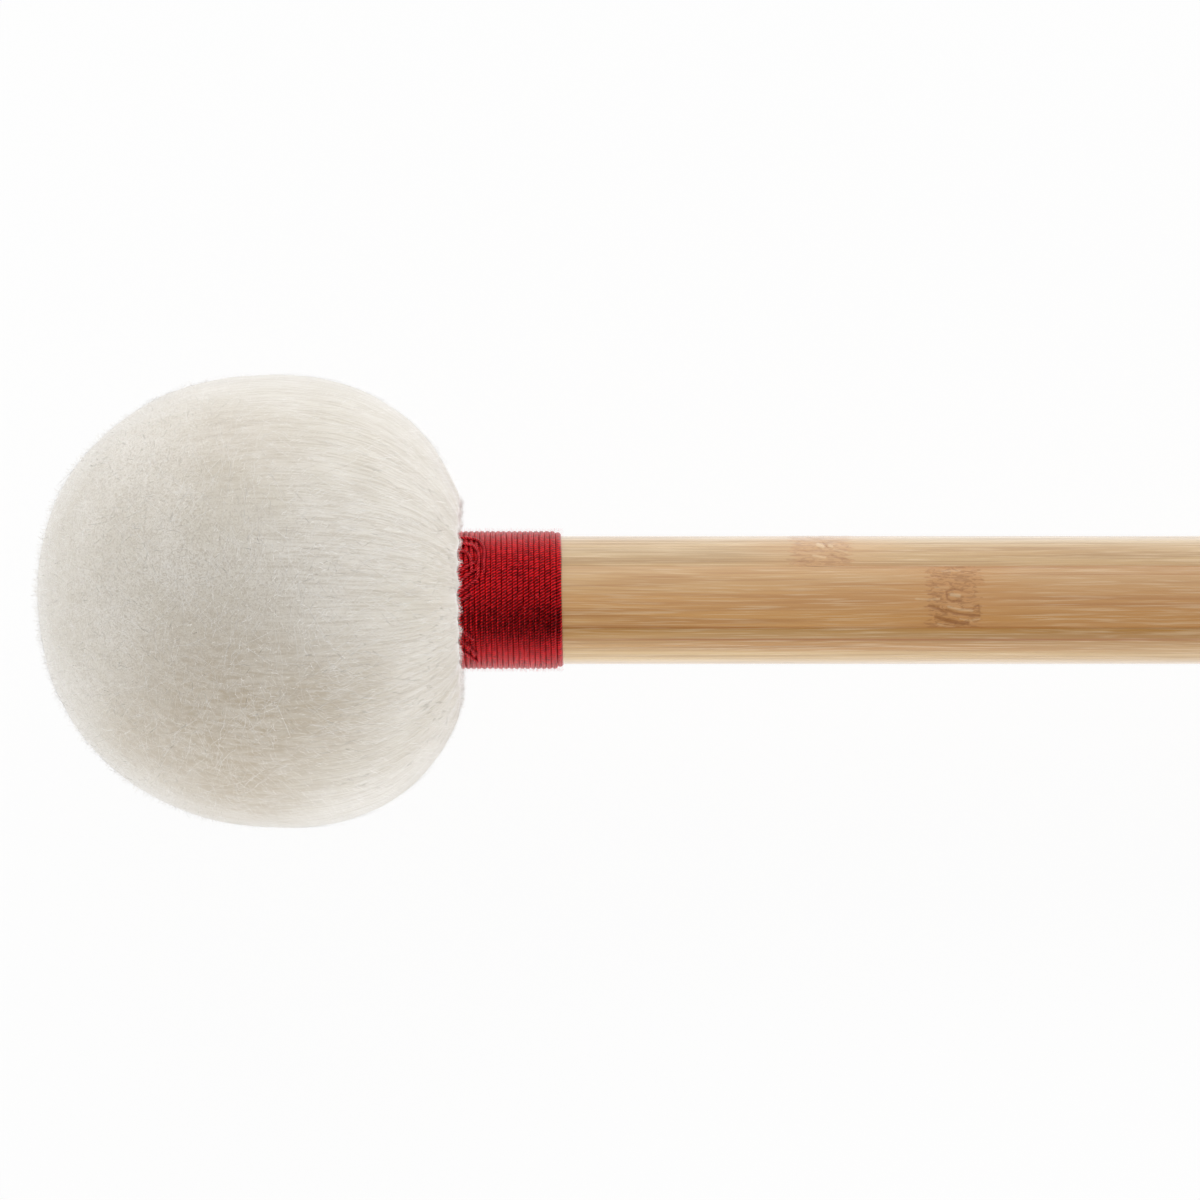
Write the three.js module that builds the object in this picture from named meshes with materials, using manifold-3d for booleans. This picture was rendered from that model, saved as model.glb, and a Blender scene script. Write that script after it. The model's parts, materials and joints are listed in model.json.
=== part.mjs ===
// A concert bass drum mallet: a wool-covered ball on a laminated bamboo shaft, bound with red thread.
// It lies as on a table, on the flattened underside of its soft head and the edge of its butt.
// Lengths are in millimetres and +Z is up. The origin is on the table, under the middle of the mallet.
// Each piece is made along +X, from the front of the head at 0 to the butt, and then all are laid down.
import * as THREE from 'three';
import { mergeVertices } from 'three/addons/utils/BufferGeometryUtils.js';
import Module from 'manifold-3d';

const wasm = await Module();
wasm.setup();

// The whole mallet
const malletLength = 380;
const shaftDiameter = 19;
const headDiameter = 68;
const headFrontReach = 36.3; // from the widest ring forward to the front of the ball
const headBackReach = 28.3; // from the widest ring back to where the ball's outline would close
const frontFullness = 2.15; // exponent of each half of the outline, where 2 is an ellipse
const backFullness = 2.55;
const restFlatDepth = 0.5; // how far the soft head is flattened where it lies

// The layers of the head from the outside in; the wooden core fills what they leave
const coverThickness = 5;
const paddingThickness = 4.5;
const feltThickness = 4;
const layerGap = 0.3;
const coreNoseWall = 8; // wood left in front of the blind bore

// The shaft: three bamboo strips glued side by side, then turned round as one
const leftGlueY = 4.95;
const rightGlueY = -4.05;
const glueLine = 0.1;
const buttRound = 3;
const tipChamfer = 1;
const shaftClearance = 0.3; // round the shaft, in the bore and in the neck of each layer

// The neck of the cover, gathered and drawn in to the shaft
const mouthFace = 1.4; // flat ring between the shaft's clearance and the lip
const lipRound = 1.2;
const gatherCount = 12;
const gatherDepth = 0.5;
const gatherReach = 14; // how far the gathers run out from the lip

// Thread: the red whipping that shows, and the tie inside the neck that draws the cover in
const whippingTurns = 19;
const whippingHeight = 0.6; // measured off the shaft, as tieHeight is
const tieTurns = 2;
const tieHeight = 0.4;
const threadPitch = 0.8;
const turnGap = 0.42; // between one turn and the next
const threadSeat = 0.15; // between a thread and what it lies on or in
const mouthGap = 0.3; // from the cover's mouth to the first turn

// How finely round things are divided
const coverSides = 4 * gatherCount;
const innerSides = 32;
const shaftSides = 48;
const outerRows = { front: 7, back: 5 };
const liningRows = { front: 3, back: 3 };
const innerRows = { front: 6, back: 5 };
const loopSteps = 24;

const cutOverrun = 5;
const shaftRadius = shaftDiameter / 2;
const headRadius = headDiameter / 2;
const neckRadius = shaftRadius + shaftClearance;
const threadWidth = threadPitch - turnGap;

// One surface of the ball, at a depth below its outside
const surfaceAt = (depth) => ({
  radius: headRadius - depth,
  front: headFrontReach - depth,
  back: headBackReach - depth,
});
const coverOutside = surfaceAt(0);
const coverInside = surfaceAt(coverThickness);
const paddingDepth = coverThickness + layerGap;
const paddingOutside = surfaceAt(paddingDepth);
const paddingInside = surfaceAt(paddingDepth + paddingThickness);
const feltDepth = paddingDepth + paddingThickness + layerGap;
const feltOutside = surfaceAt(feltDepth);
const feltInside = surfaceAt(feltDepth + feltThickness);
const coreOutside = surfaceAt(feltDepth + feltThickness + layerGap);

const widestX = headFrontReach;
const boreFloorX = widestX - coreOutside.front + coreNoseWall;
const shaftTipX = boreFloorX + shaftClearance;

// The X of a surface's back half at a distance from the axis
function backX(surface, distance) {
  const share = 1 - (distance / surface.radius) ** backFullness;
  return widestX + surface.back * share ** (1 / backFullness);
}

const lipRadius = neckRadius + mouthFace + lipRound;
const lipX = backX(coverOutside, lipRadius);
const mouthX = lipX - lipRound;

// Profile points of a surface from its front pole, over its widest ring, to where its neck begins.
// A profile point is (distance from the axis, X).
function outline(surface, neck, rows) {
  const points = [new THREE.Vector2(0, widestX - surface.front)];
  for (let i = 1; i <= rows.front; i++) {
    const angle = ((i / rows.front) * Math.PI) / 2;
    const distance = surface.radius * Math.sin(angle) ** (2 / frontFullness);
    const ahead = surface.front * Math.max(Math.cos(angle), 0) ** (2 / frontFullness);
    points.push(new THREE.Vector2(distance, widestX - ahead));
  }
  const neckAngle = Math.asin((neck / surface.radius) ** (backFullness / 2));
  for (let i = 1; i <= rows.back; i++) {
    const angle = Math.PI / 2 - (i / rows.back) * (Math.PI / 2 - neckAngle);
    const distance = surface.radius * Math.sin(angle) ** (2 / backFullness);
    points.push(new THREE.Vector2(distance, backX(surface, distance)));
  }
  return points;
}

// Profile points on an arc about a centre, its angles measured from straight out towards +X
function arc(centreDistance, centreX, radius, fromAngle, toAngle, steps) {
  return Array.from({ length: steps + 1 }, (_, i) => {
    const angle = fromAngle + ((toAngle - fromAngle) * i) / steps;
    const distance = centreDistance + radius * Math.cos(angle);
    return new THREE.Vector2(distance, centreX + radius * Math.sin(angle));
  });
}

// A profile turned about the X axis
function turned(profile, sides) {
  return new THREE.LatheGeometry(profile, sides).rotateZ(-Math.PI / 2);
}

// A closed mesh as a solid that can be cut
function solidOf(geometry) {
  const bare = geometry.clone();
  bare.deleteAttribute('normal');
  bare.deleteAttribute('uv');
  const merged = mergeVertices(bare);
  const corners = merged.index.array;
  const triangles = [];
  for (let i = 0; i < corners.length; i += 3) {
    const [a, b, c] = corners.slice(i, i + 3);
    if (a !== b && b !== c && c !== a) triangles.push(a, b, c);
  }
  return new wasm.Manifold(new wasm.Mesh({
    numProp: 3,
    vertProperties: new Float32Array(merged.attributes.position.array),
    triVerts: new Uint32Array(triangles),
  }));
}

function geometryOf(solid) {
  const mesh = solid.getMesh();
  const geometry = new THREE.BufferGeometry();
  geometry.setAttribute('position', new THREE.BufferAttribute(mesh.vertProperties, 3));
  geometry.setIndex(new THREE.BufferAttribute(mesh.triVerts, 1));
  geometry.computeVertexNormals();
  return geometry;
}

// How the mallet lies: its tilt, and the height of the head's widest ring's centre above the table.
// Both come from the lowest points of the head's back half and of the butt's rounded edge.
function restingPose() {
  const dual = backFullness / (backFullness - 1);
  const rounds = 20;
  const pose = { tilt: 0, height: headRadius };
  for (let i = 0; i < rounds; i++) {
    const along = (headBackReach * Math.sin(pose.tilt)) ** dual;
    const across = (headRadius * Math.cos(pose.tilt)) ** dual;
    pose.height = (along + across) ** (1 / dual) - restFlatDepth;
    const buttHeight = buttRound + (shaftRadius - buttRound) * Math.cos(pose.tilt);
    pose.tilt = Math.asin((pose.height - buttHeight) / (malletLength - buttRound - widestX));
  }
  return pose;
}
const rest = restingPose();

// One strip of the shaft: the whole turned dowel, cut at the strip's glue faces
function shaftStrip(lowY, highY) {
  const tipEdge = shaftRadius - tipChamfer;
  const buttSteps = 5;
  const dowel = turned([
    new THREE.Vector2(0, shaftTipX),
    new THREE.Vector2(tipEdge, shaftTipX),
    new THREE.Vector2(shaftRadius, shaftTipX + tipChamfer),
    ...arc(shaftRadius - buttRound, malletLength - buttRound, buttRound, 0, Math.PI / 2, buttSteps),
    new THREE.Vector2(0, malletLength),
  ], shaftSides);
  const slab = new THREE.BoxGeometry(malletLength, highY - lowY, shaftDiameter + cutOverrun);
  slab.translate((shaftTipX + malletLength) / 2, (lowY + highY) / 2, 0);
  return geometryOf(solidOf(dowel).intersect(solidOf(slab)));
}

// The turned wooden core, with the blind bore that the shaft is glued into
function core() {
  return turned([
    ...outline(coreOutside, neckRadius, innerRows),
    new THREE.Vector2(neckRadius, boreFloorX),
    new THREE.Vector2(0, boreFloorX),
  ], innerSides);
}

// A soft layer between two surfaces, open round the shaft at its back
function layer(outside, outsideRows, inside, insideRows) {
  return turned([
    ...outline(outside, neckRadius, outsideRows),
    ...outline(inside, neckRadius, insideRows).reverse(),
  ], innerSides);
}

// The tie's groove, in the middle of the wall of the cover's neck
const tieWidth = tieTurns * threadPitch + threadWidth;
const grooveX = (mouthX + backX(coverInside, neckRadius)) / 2;
const grooveHalf = tieWidth / 2 + threadSeat;
const grooveRadius = neckRadius + tieHeight;

// Folds the back of the cover into gathers, deepest at the lip and fading out over their reach
function gather(geometry) {
  const centre = new THREE.Vector3(widestX, 0, 0);
  const position = geometry.attributes.position;
  const foldStart = lipRadius - lipRound / 4;
  for (let i = 0; i < position.count; i++) {
    const point = new THREE.Vector3().fromBufferAttribute(position, i).sub(centre);
    const distance = Math.hypot(point.y, point.z);
    const outside = point.x > coverInside.back || distance > coverInside.radius;
    const fade = 1 - Math.max(distance - lipRadius, 0) / gatherReach;
    if (point.x > 0 && outside && distance > foldStart && fade > 0) {
      const fold = Math.cos(gatherCount * Math.atan2(point.y, point.z));
      point.setLength(point.length() + gatherDepth * fade * fold);
      position.setXYZ(i, widestX + point.x, point.y, point.z);
    }
  }
  return geometry;
}

// The wool cover: crowned, gathered at its back, drawn in to the shaft, and flat where it lies
function cover() {
  const lipSteps = 2;
  const bag = gather(turned([
    ...outline(coverOutside, lipRadius, outerRows),
    ...arc(lipRadius, mouthX, lipRound, Math.PI / 2, Math.PI, lipSteps).slice(1),
    new THREE.Vector2(neckRadius, mouthX),
    new THREE.Vector2(neckRadius, grooveX + grooveHalf),
    new THREE.Vector2(grooveRadius, grooveX + grooveHalf),
    new THREE.Vector2(grooveRadius, grooveX - grooveHalf),
    new THREE.Vector2(neckRadius, grooveX - grooveHalf),
    ...outline(coverInside, neckRadius, liningRows).reverse(),
  ], coverSides));
  const table = new THREE.BoxGeometry(headDiameter, headDiameter, headDiameter);
  table.translate(0, 0, -rest.height - headRadius).rotateY(-rest.tilt).translate(widestX, 0, 0);
  return geometryOf(solidOf(bag).subtract(solidOf(table)));
}

// Outline of a thread's section, as shares of half its height off the shaft and half its width
const sectionShares = [[1, 0], [0.5, 1], [-0.5, 1], [-1, 0], [-0.5, -1], [0.5, -1]];

// The corners of a thread, ring by ring, as it winds on the shaft from its first turn's X. At each
// end one more ring carries it straight on for its own width.
function windingRings(firstX, turns, height) {
  const radius = shaftRadius + threadSeat + height / 2;
  const steps = turns * loopSteps;
  const ring = (step, straight) => {
    const angle = (2 * Math.PI * step) / loopSteps;
    const x = firstX + (threadPitch * step) / loopSteps;
    const out = new THREE.Vector3(0, Math.cos(angle), Math.sin(angle));
    const round = new THREE.Vector3(0, -Math.sin(angle), Math.cos(angle));
    return sectionShares.map(([up, side]) => out.clone()
      .multiplyScalar(radius + (up * height) / 2)
      .addScaledVector(round, straight)
      .setX(x + (side * threadWidth) / 2));
  };
  const turnsOnly = Array.from({ length: steps + 1 }, (_, i) => ring(i, 0));
  return [ring(0, -threadWidth), ...turnsOnly, ring(steps, threadWidth)];
}

// The least distance between corners that lie half a turn or more apart along the thread
function leastGap(rings) {
  let least = Infinity;
  rings.forEach((ring, i) => rings.slice(i + loopSteps / 2).forEach((other) => {
    ring.forEach((p) => other.forEach((q) => {
      least = Math.min(least, p.distanceTo(q));
    }));
  }));
  return least;
}

// A thread as one unbroken tube
function winding(name, firstX, turns, height) {
  const rings = windingRings(firstX, turns, height);
  console.log(`${name}: ${turns} turns, least gap ${leastGap(rings).toFixed(3)} mm`);
  const sides = sectionShares.length;
  const triangles = [];
  for (let i = 0; i + 1 < rings.length; i++) {
    for (let j = 0; j < sides; j++) {
      const here = i * sides + j;
      const beside = i * sides + ((j + 1) % sides);
      triangles.push(here, here + sides, beside, beside, here + sides, beside + sides);
    }
  }
  const last = (rings.length - 1) * sides;
  for (let j = 1; j + 1 < sides; j++) {
    triangles.push(0, j, j + 1, last, last + j + 1, last + j);
  }
  const geometry = new THREE.BufferGeometry().setFromPoints(rings.flat());
  geometry.setIndex(triangles);
  geometry.computeVertexNormals();
  return geometry;
}

const bamboo = { color: 0xc9a176, roughness: 0.45, metalness: 0 };
const maple = { color: 0xd9c19a, roughness: 0.6, metalness: 0 };
const denseFelt = { color: 0xb9b3a8, roughness: 0.95, metalness: 0 };
const batting = { color: 0xe2ddd2, roughness: 1, metalness: 0 };
const wool = { color: 0xe6e0d6, roughness: 1, metalness: 0 };
const cottonTie = { color: 0xe8e2d4, roughness: 0.9, metalness: 0 };
const redThread = { color: 0x9c1c20, roughness: 0.8, metalness: 0 };

const mallet = new THREE.Group();

function addPiece(name, geometry, finish) {
  const piece = new THREE.Mesh(geometry, new THREE.MeshStandardMaterial(finish));
  piece.name = name;
  mallet.add(piece);
}

const sideY = shaftRadius + cutOverrun;
const firstTurnX = mouthX + mouthGap + threadWidth / 2;
const tieFirstX = grooveX - tieWidth / 2 + threadWidth / 2;
addPiece('bamboo_strip_left', shaftStrip(leftGlueY + glueLine / 2, sideY), bamboo);
addPiece('bamboo_strip_middle', shaftStrip(rightGlueY + glueLine / 2, leftGlueY - glueLine / 2), bamboo);
addPiece('bamboo_strip_right', shaftStrip(-sideY, rightGlueY - glueLine / 2), bamboo);
addPiece('head_core', core(), maple);
addPiece('core_felt', layer(feltOutside, innerRows, feltInside, innerRows), denseFelt);
addPiece('wool_padding', layer(paddingOutside, liningRows, paddingInside, innerRows), batting);
addPiece('wool_cover', cover(), wool);
addPiece('neck_tie', winding('neck_tie', tieFirstX, tieTurns, tieHeight), cottonTie);
addPiece('whipping', winding('whipping', firstTurnX, whippingTurns, whippingHeight), redThread);

// Laid on the table, with the middle of its length at the origin
mallet.rotation.y = rest.tilt;
mallet.position.z = rest.height + widestX * Math.sin(rest.tilt);
const extent = new THREE.Box3().setFromObject(mallet, true);
mallet.position.x = -(extent.min.x + extent.max.x) / 2;

export default mallet;
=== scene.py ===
# %% [markdown]
# # A bass drum mallet
# The real mallet is a round shaft of laminated bamboo with a soft wool head as big as a fist,
# bound at the neck with red thread. This notebook dresses its plain solid model. Every length is
# in metres, in the frame of the solid model, and MM turns millimetres to metres.

# %% Load the solid model
import json
import math
from functools import partial

import bpy
import numpy as np
from mathutils import Matrix, Vector, noise


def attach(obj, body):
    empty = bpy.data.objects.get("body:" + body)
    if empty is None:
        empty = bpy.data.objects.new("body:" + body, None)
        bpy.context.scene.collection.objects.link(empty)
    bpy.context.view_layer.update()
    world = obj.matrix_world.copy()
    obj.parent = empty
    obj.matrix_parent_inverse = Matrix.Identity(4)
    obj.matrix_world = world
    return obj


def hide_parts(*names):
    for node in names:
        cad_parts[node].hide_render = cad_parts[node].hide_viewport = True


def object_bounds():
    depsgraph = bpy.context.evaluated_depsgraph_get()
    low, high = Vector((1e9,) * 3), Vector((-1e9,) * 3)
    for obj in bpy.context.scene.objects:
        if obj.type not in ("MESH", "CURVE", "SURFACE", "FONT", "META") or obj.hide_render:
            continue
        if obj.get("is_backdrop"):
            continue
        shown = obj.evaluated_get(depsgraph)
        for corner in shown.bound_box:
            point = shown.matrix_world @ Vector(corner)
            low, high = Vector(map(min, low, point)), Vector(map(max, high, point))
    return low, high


MM = 0.001
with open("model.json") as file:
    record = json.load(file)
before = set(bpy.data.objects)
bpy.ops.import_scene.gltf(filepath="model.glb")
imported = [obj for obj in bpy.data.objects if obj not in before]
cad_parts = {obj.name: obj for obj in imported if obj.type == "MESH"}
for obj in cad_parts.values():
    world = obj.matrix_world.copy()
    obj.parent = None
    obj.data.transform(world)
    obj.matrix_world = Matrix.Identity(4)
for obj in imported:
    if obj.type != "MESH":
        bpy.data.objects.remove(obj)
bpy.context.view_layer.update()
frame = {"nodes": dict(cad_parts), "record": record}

# %% [markdown]
# ## How the mallet lies
# The mallet lies on its head and the edge of its butt, so its shaft slopes a little. It could be
# modelled on the slope, but it is much easier straight, along X from the front of the head, with
# one matrix that lays each finished mesh down. The matrix comes from the butt's place and axis
# and the cover's furthest point along that axis.

# %% The matrix that lays the mallet down
butt = next(m for m in frame["record"]["mounts"] if m["name"] == "butt_end")
along = Vector(butt["axis"]).normalized()
side = Vector((0, 1, 0))
up = along.cross(side).normalized()
cover_points = [v.co for v in frame["nodes"]["wool_cover"].data.vertices]
MALLET_LENGTH = max((Vector(butt["pos_m"]) - p).dot(along) for p in cover_points)
front = Vector(butt["pos_m"]) - along * MALLET_LENGTH
TURNED = Matrix((along, side, up)).transposed().to_4x4()
LAY = Matrix.Translation(front) @ TURNED
slope = math.degrees(math.acos(along.x))
print(f"mallet {MALLET_LENGTH / MM:.1f} mm long, sloping {slope:.2f} degrees")

# %% Sizes taken from the solid model
def straight_box(node):
    """Lowest and highest corner of a solid along the straight mallet's own axes."""
    back = LAY.inverted()
    points = np.array([back @ v.co for v in frame["nodes"][node].data.vertices])
    return points.min(0), points.max(0)


shaft_low, shaft_high = straight_box("bamboo_strip_middle")
left_low, left_high = straight_box("bamboo_strip_left")
right_high = straight_box("bamboo_strip_right")[1]
winding_low, winding_high = straight_box("whipping")
SHAFT_RADIUS = float(left_high[1])
SHAFT_TIP_X = float(shaft_low[0])
LEFT_GLUE_Y = float(shaft_high[1] + left_low[1]) / 2
RIGHT_GLUE_Y = float(shaft_low[1] + right_high[1]) / 2
WHIPPING_RADIUS = float(winding_high[1])
print(f"shaft radius {SHAFT_RADIUS / MM:.2f} mm")
print(f"glue lines at {LEFT_GLUE_Y / MM:.2f} and {RIGHT_GLUE_Y / MM:.2f} mm")

# %% [markdown]
# ## The camera and the light
# The photograph looks straight down on the shaft through a long lens, with the head on the left,
# against white. It was taken in a light tent: most light comes from low down, least from overhead,
# where the camera looks in, so edges are pale. Three soft boxes shine through the tent. Gloss
# shows the tent and a dark slot in it, which makes the dark band along the thread and the wood.
# Enough light to whiten the background would bleach the wool, so the camera alone sees white.

# %% Camera
def in_scene(name, data):
    """A new object of the scene that holds some data."""
    made = bpy.data.objects.new(name, data)
    bpy.context.scene.collection.objects.link(made)
    return made


PHOTO_PIXELS = 1200
PIXELS_PER_MM = 6.74
FRONT_PIXEL_X, SHAFT_PIXEL_Y = 35, 600.3  # where the photograph has the head's front and the axis
LENS_MM = 300
camera_data = bpy.data.cameras.new("camera")
camera_data.lens = LENS_MM
view_width = PHOTO_PIXELS / PIXELS_PER_MM * MM
distance = view_width * LENS_MM / camera_data.sensor_width
centre_x = (PHOTO_PIXELS / 2 - FRONT_PIXEL_X) / PIXELS_PER_MM * MM
camera = in_scene("camera", camera_data)
camera.matrix_world = LAY @ Matrix.Translation((centre_x, 0, distance))
bpy.context.scene.camera = camera
bpy.context.scene.view_settings.view_transform = "Standard"
print(f"the view is {view_width / MM:.0f} mm wide, from {distance:.2f} m away")

# %% Helpers that add one node and read a colour
def give(node, inputs):
    """Sets a node's inputs, keyed by name or listed in the order of those in use. Each is given a
    value, a socket that feeds it, or a node whose first output in use does."""
    in_use = [socket for socket in node.inputs if socket.enabled]
    for key, value in inputs.items() if isinstance(inputs, dict) else enumerate(inputs):
        socket = node.inputs[key] if isinstance(key, str) else in_use[key]
        if isinstance(value, bpy.types.Node):
            value = next(output for output in value.outputs if output.enabled)
        if isinstance(value, bpy.types.NodeSocket):
            node.id_data.links.new(value, socket)
        else:
            socket.default_value = value


def add_node(tree, kind, inputs=(), **settings):
    """Adds a node of a kind, or of a kind that brings a setting, as those below do."""
    kind, setting = (kind, {}) if isinstance(kind, str) else kind
    made = tree.nodes.new(kind)
    for name, value in {**setting, **settings}.items():
        setattr(made, name, value)
    give(made, inputs)
    return made


def kinds(node, setting, options):
    """A kind of node with each of the options of one setting."""
    return [(node, {setting: option}) for option in options.split()]


TIMES, PLUS, MINUS, OVER, POWER, ABSOLUTE, SINE, COSINE, ROOT, ANGLE, LARGER = kinds(
    "ShaderNodeMath", "operation",
    "MULTIPLY ADD SUBTRACT DIVIDE POWER ABSOLUTE SINE COSINE SQRT ARCTAN2 MAXIMUM")
V_TIMES, V_PLUS, V_MINUS, V_SCALED, V_UNIT, V_DOT, V_APART, V_LENGTH = kinds(
    "ShaderNodeVectorMath", "operation",
    "MULTIPLY ADD SUBTRACT SCALE NORMALIZE DOT_PRODUCT DISTANCE LENGTH")
BLEND, BLEND_COLOURS = kinds("ShaderNodeMix", "data_type", "FLOAT RGBA")
RANGE, SMOOTH = kinds("ShaderNodeMapRange", "interpolation_type", "LINEAR SMOOTHSTEP")


def linear(hex_colour):
    """The linear RGBA of an sRGB hex colour."""
    shares = [int(hex_colour[i:i + 2], 16) / 255 for i in (1, 3, 5)]
    return [s / 12.92 if s <= 0.04045 else ((s + 0.055) / 1.055) ** 2.4 for s in shares] + [1.0]


# %% World
TENT_TOP, TENT_SIDE, TENT_FALL = 0.38, 2.76, 2.2  # the light from overhead, and from low down
REFLECTED_TOP, REFLECTED_SIDE, REFLECTED_SLOT = 0.475, 0.76, 0.0  # what gloss shows
REFLECTED_HIGH, REFLECTED_LOW = 0.95, 0.4  # heights between which the reflected tent changes
SLOT_LEAN, SLOT_HALF, SLOT_EDGE = (math.radians(angle) for angle in (45, 28, 11))
world = bpy.data.worlds.new("light_tent")
world.use_nodes = True
bpy.context.scene.world = world
sky = world.node_tree
sky.nodes.clear()
add = partial(add_node, sky)
direction = add("ShaderNodeTexCoord").outputs["Generated"]
across, height = add("ShaderNodeSeparateXYZ", [direction]).outputs[1:]
low = add(MINUS, [1.0, height], use_clamp=True)
tent = add(RANGE, [add(POWER, [low, TENT_FALL]), 0.0, 1.0, TENT_TOP, TENT_SIDE])
mirrored = add(RANGE, [height, REFLECTED_HIGH, REFLECTED_LOW, REFLECTED_TOP, REFLECTED_SIDE])
lean = add(ANGLE, [across, height])
off_slot = add(ABSOLUTE, [add(PLUS, [lean, SLOT_LEAN])])
slot = add(RANGE, [off_slot, SLOT_HALF + SLOT_EDGE, SLOT_HALF - SLOT_EDGE])
mirrored = add(BLEND, [slot, mirrored, REFLECTED_SLOT])
ray = add("ShaderNodeLightPath").outputs
tent = add(BLEND, [ray["Is Glossy Ray"], tent, mirrored])
seen = add(LARGER, [ray["Is Camera Ray"], ray["Is Transmission Ray"]])
level = add(BLEND, [seen, tent, 1.0])
add("ShaderNodeOutputWorld", [add("ShaderNodeBackground", [(1, 1, 1, 1), level])])
print("a light tent of", len(sky.nodes), "nodes")

# %% Lamps
BOX_SIZE = (0.9, 0.4)
SOFT_BOXES = {  # each one's place, along the straight mallet's axes, and its watts
    "upper_soft_box": ((centre_x, 0.80, 0.46), 2.6),
    "lower_soft_box": ((centre_x, -0.90, 0.22), 1.8),
    "butt_side_soft_box": ((centre_x + 1.0, 0, 0.25), 0.9),
}
for name, (place, watts) in SOFT_BOXES.items():
    light = bpy.data.lights.new(name, "AREA")
    light.shape = "RECTANGLE"
    light.size, light.size_y = BOX_SIZE
    light.energy = watts
    lamp = in_scene(name, light)
    lamp.visible_glossy = False  # it shines through the tent, so what gloss shows is the tent
    aim = Vector((centre_x, 0, 0)) - Vector(place)
    facing = aim.to_track_quat("-Z", "Y").to_matrix().to_4x4()
    lamp.matrix_world = LAY @ Matrix.Translation(place) @ facing
print(len(SOFT_BOXES), "soft boxes")

# %% Floor
FLOOR_HALF = 3.0
FLOOR_SHADOW = 0.08  # how much of the mallet's shadow shows on the white paper
floor_mesh = bpy.data.meshes.new("floor")
corners = [(x * FLOOR_HALF, y * FLOOR_HALF, 0) for x, y in ((-1, -1), (1, -1), (1, 1), (-1, 1))]
floor_mesh.from_pydata(corners, [], [(0, 1, 2, 3)])
floor = in_scene("floor", floor_mesh)
paper = bpy.data.materials.new("white_paper_floor")
paper.use_nodes = True
tree = paper.node_tree
tree.nodes.clear()
add = partial(add_node, tree)
ray = add("ShaderNodeLightPath").outputs
lit = add("ShaderNodeBsdfDiffuse", [linear("#fafafa")])
white = add("ShaderNodeEmission", [(1, 1, 1, 1), 1.0])
seen = add(LARGER, [ray["Is Camera Ray"], ray["Is Glossy Ray"]])
share = add(TIMES, [seen, 1 - FLOOR_SHADOW])
add("ShaderNodeOutputMaterial", [add("ShaderNodeMixShader", [share, lit, white])])
floor_mesh.materials.append(paper)
floor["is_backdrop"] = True
print(f"a white floor {2 * FLOOR_HALF:.0f} m wide")

# %% [markdown]
# ## Helpers for meshes and trees
# A mesh is built along the straight mallet and laid down as its last step, so its object stays
# at the origin. A Geometry Nodes tree is run on a source object and its result kept as a mesh.

# %% Mesh helpers
def piece_from(name, mesh, material=None, node=None):
    """Lays a straight mesh down and makes it a piece, in place of a solid if one is named."""
    mesh.transform(LAY)
    if material:
        mesh.materials.clear()
        mesh.materials.append(material)
    mesh.shade_smooth()
    piece = in_scene(name, mesh)
    mesh.calc_loop_triangles()
    print(f"{name}: {len(mesh.loop_triangles)} triangles")
    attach(piece, "root")
    if node:
        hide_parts(node)
    return piece


def mesh_from(name, points, faces):
    """A mesh of points and faces, its points given as any rows of three numbers."""
    mesh = bpy.data.meshes.new(name)
    mesh.from_pydata([tuple(map(float, p)) for p in points], [], faces)
    return mesh


def ring_faces(spans, sides):
    """Faces between pairs of rings, each ring told by the number of its first point."""
    return [(a + j, a + (j + 1) % sides, b + (j + 1) % sides, b + j)
            for a, b in spans for j in range(sides)]


def mesh_of_rings(name, rings, ends_on_axis=True):
    """A mesh through equal rings of points. Its first and last ring are drawn to a point each, or
    else the last is joined to the first."""
    count, sides = rings.shape[:2]
    faces = []
    if ends_on_axis:
        points = [rings[0, 0], *rings[1:-1].reshape(-1, 3), rings[-1, 0]]
        last = len(points) - 1
        for j in range(sides):
            k = (j + 1) % sides
            faces.append((0, 1 + k, 1 + j))
            faces.append((last, last - sides + j, last - sides + k))
        spans = [(1 + i * sides, 1 + (i + 1) * sides) for i in range(count - 3)]
    else:
        points = rings.reshape(-1, 3)
        spans = [(i * sides, (i + 1) % count * sides) for i in range(count)]
    mesh = mesh_from(name, points, faces + ring_faces(spans, sides))
    mesh.validate()
    return mesh


def turned_rings(profile, sides):
    """Rings of points for a profile of (X, distance) turned about the axis."""
    angles = np.arange(sides) / sides * 2 * math.pi
    profile = np.array(profile)
    x = np.repeat(profile[:, :1], sides, axis=1)
    y, z = (np.outer(profile[:, 1], wave(angles)) for wave in (np.cos, np.sin))
    return np.stack([x, y, z], axis=2)


# %% Tree helpers
SOCKETS = {float: "NodeSocketFloat", int: "NodeSocketInt", type(None): "NodeSocketMaterial"}


def new_tree(name, **inputs):
    """A Geometry Nodes tree, a function that adds nodes to it, and its input sockets. An input is
    told by its first value, a material by None, and a _ in a name stands for a space."""
    tree = bpy.data.node_groups.new(name, "GeometryNodeTree")
    new_socket = tree.interface.new_socket
    new_socket("Geometry", in_out="INPUT", socket_type="NodeSocketGeometry")
    for label, value in inputs.items():
        kind = SOCKETS[type(value)]
        socket = new_socket(label.replace("_", " "), in_out="INPUT", socket_type=kind)
        if value is not None:
            socket.default_value = value
    new_socket("Geometry", in_out="OUTPUT", socket_type="NodeSocketGeometry")
    return tree, partial(add_node, tree), tree.nodes.new("NodeGroupInput").outputs


def finish_tree(add, geometry, material):
    """Ends a tree in Realize Instances and Set Material."""
    real = add("GeometryNodeRealizeInstances", [geometry])
    painted = add("GeometryNodeSetMaterial", {"Geometry": real, "Material": material})
    add("NodeGroupOutput", [painted])


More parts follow.
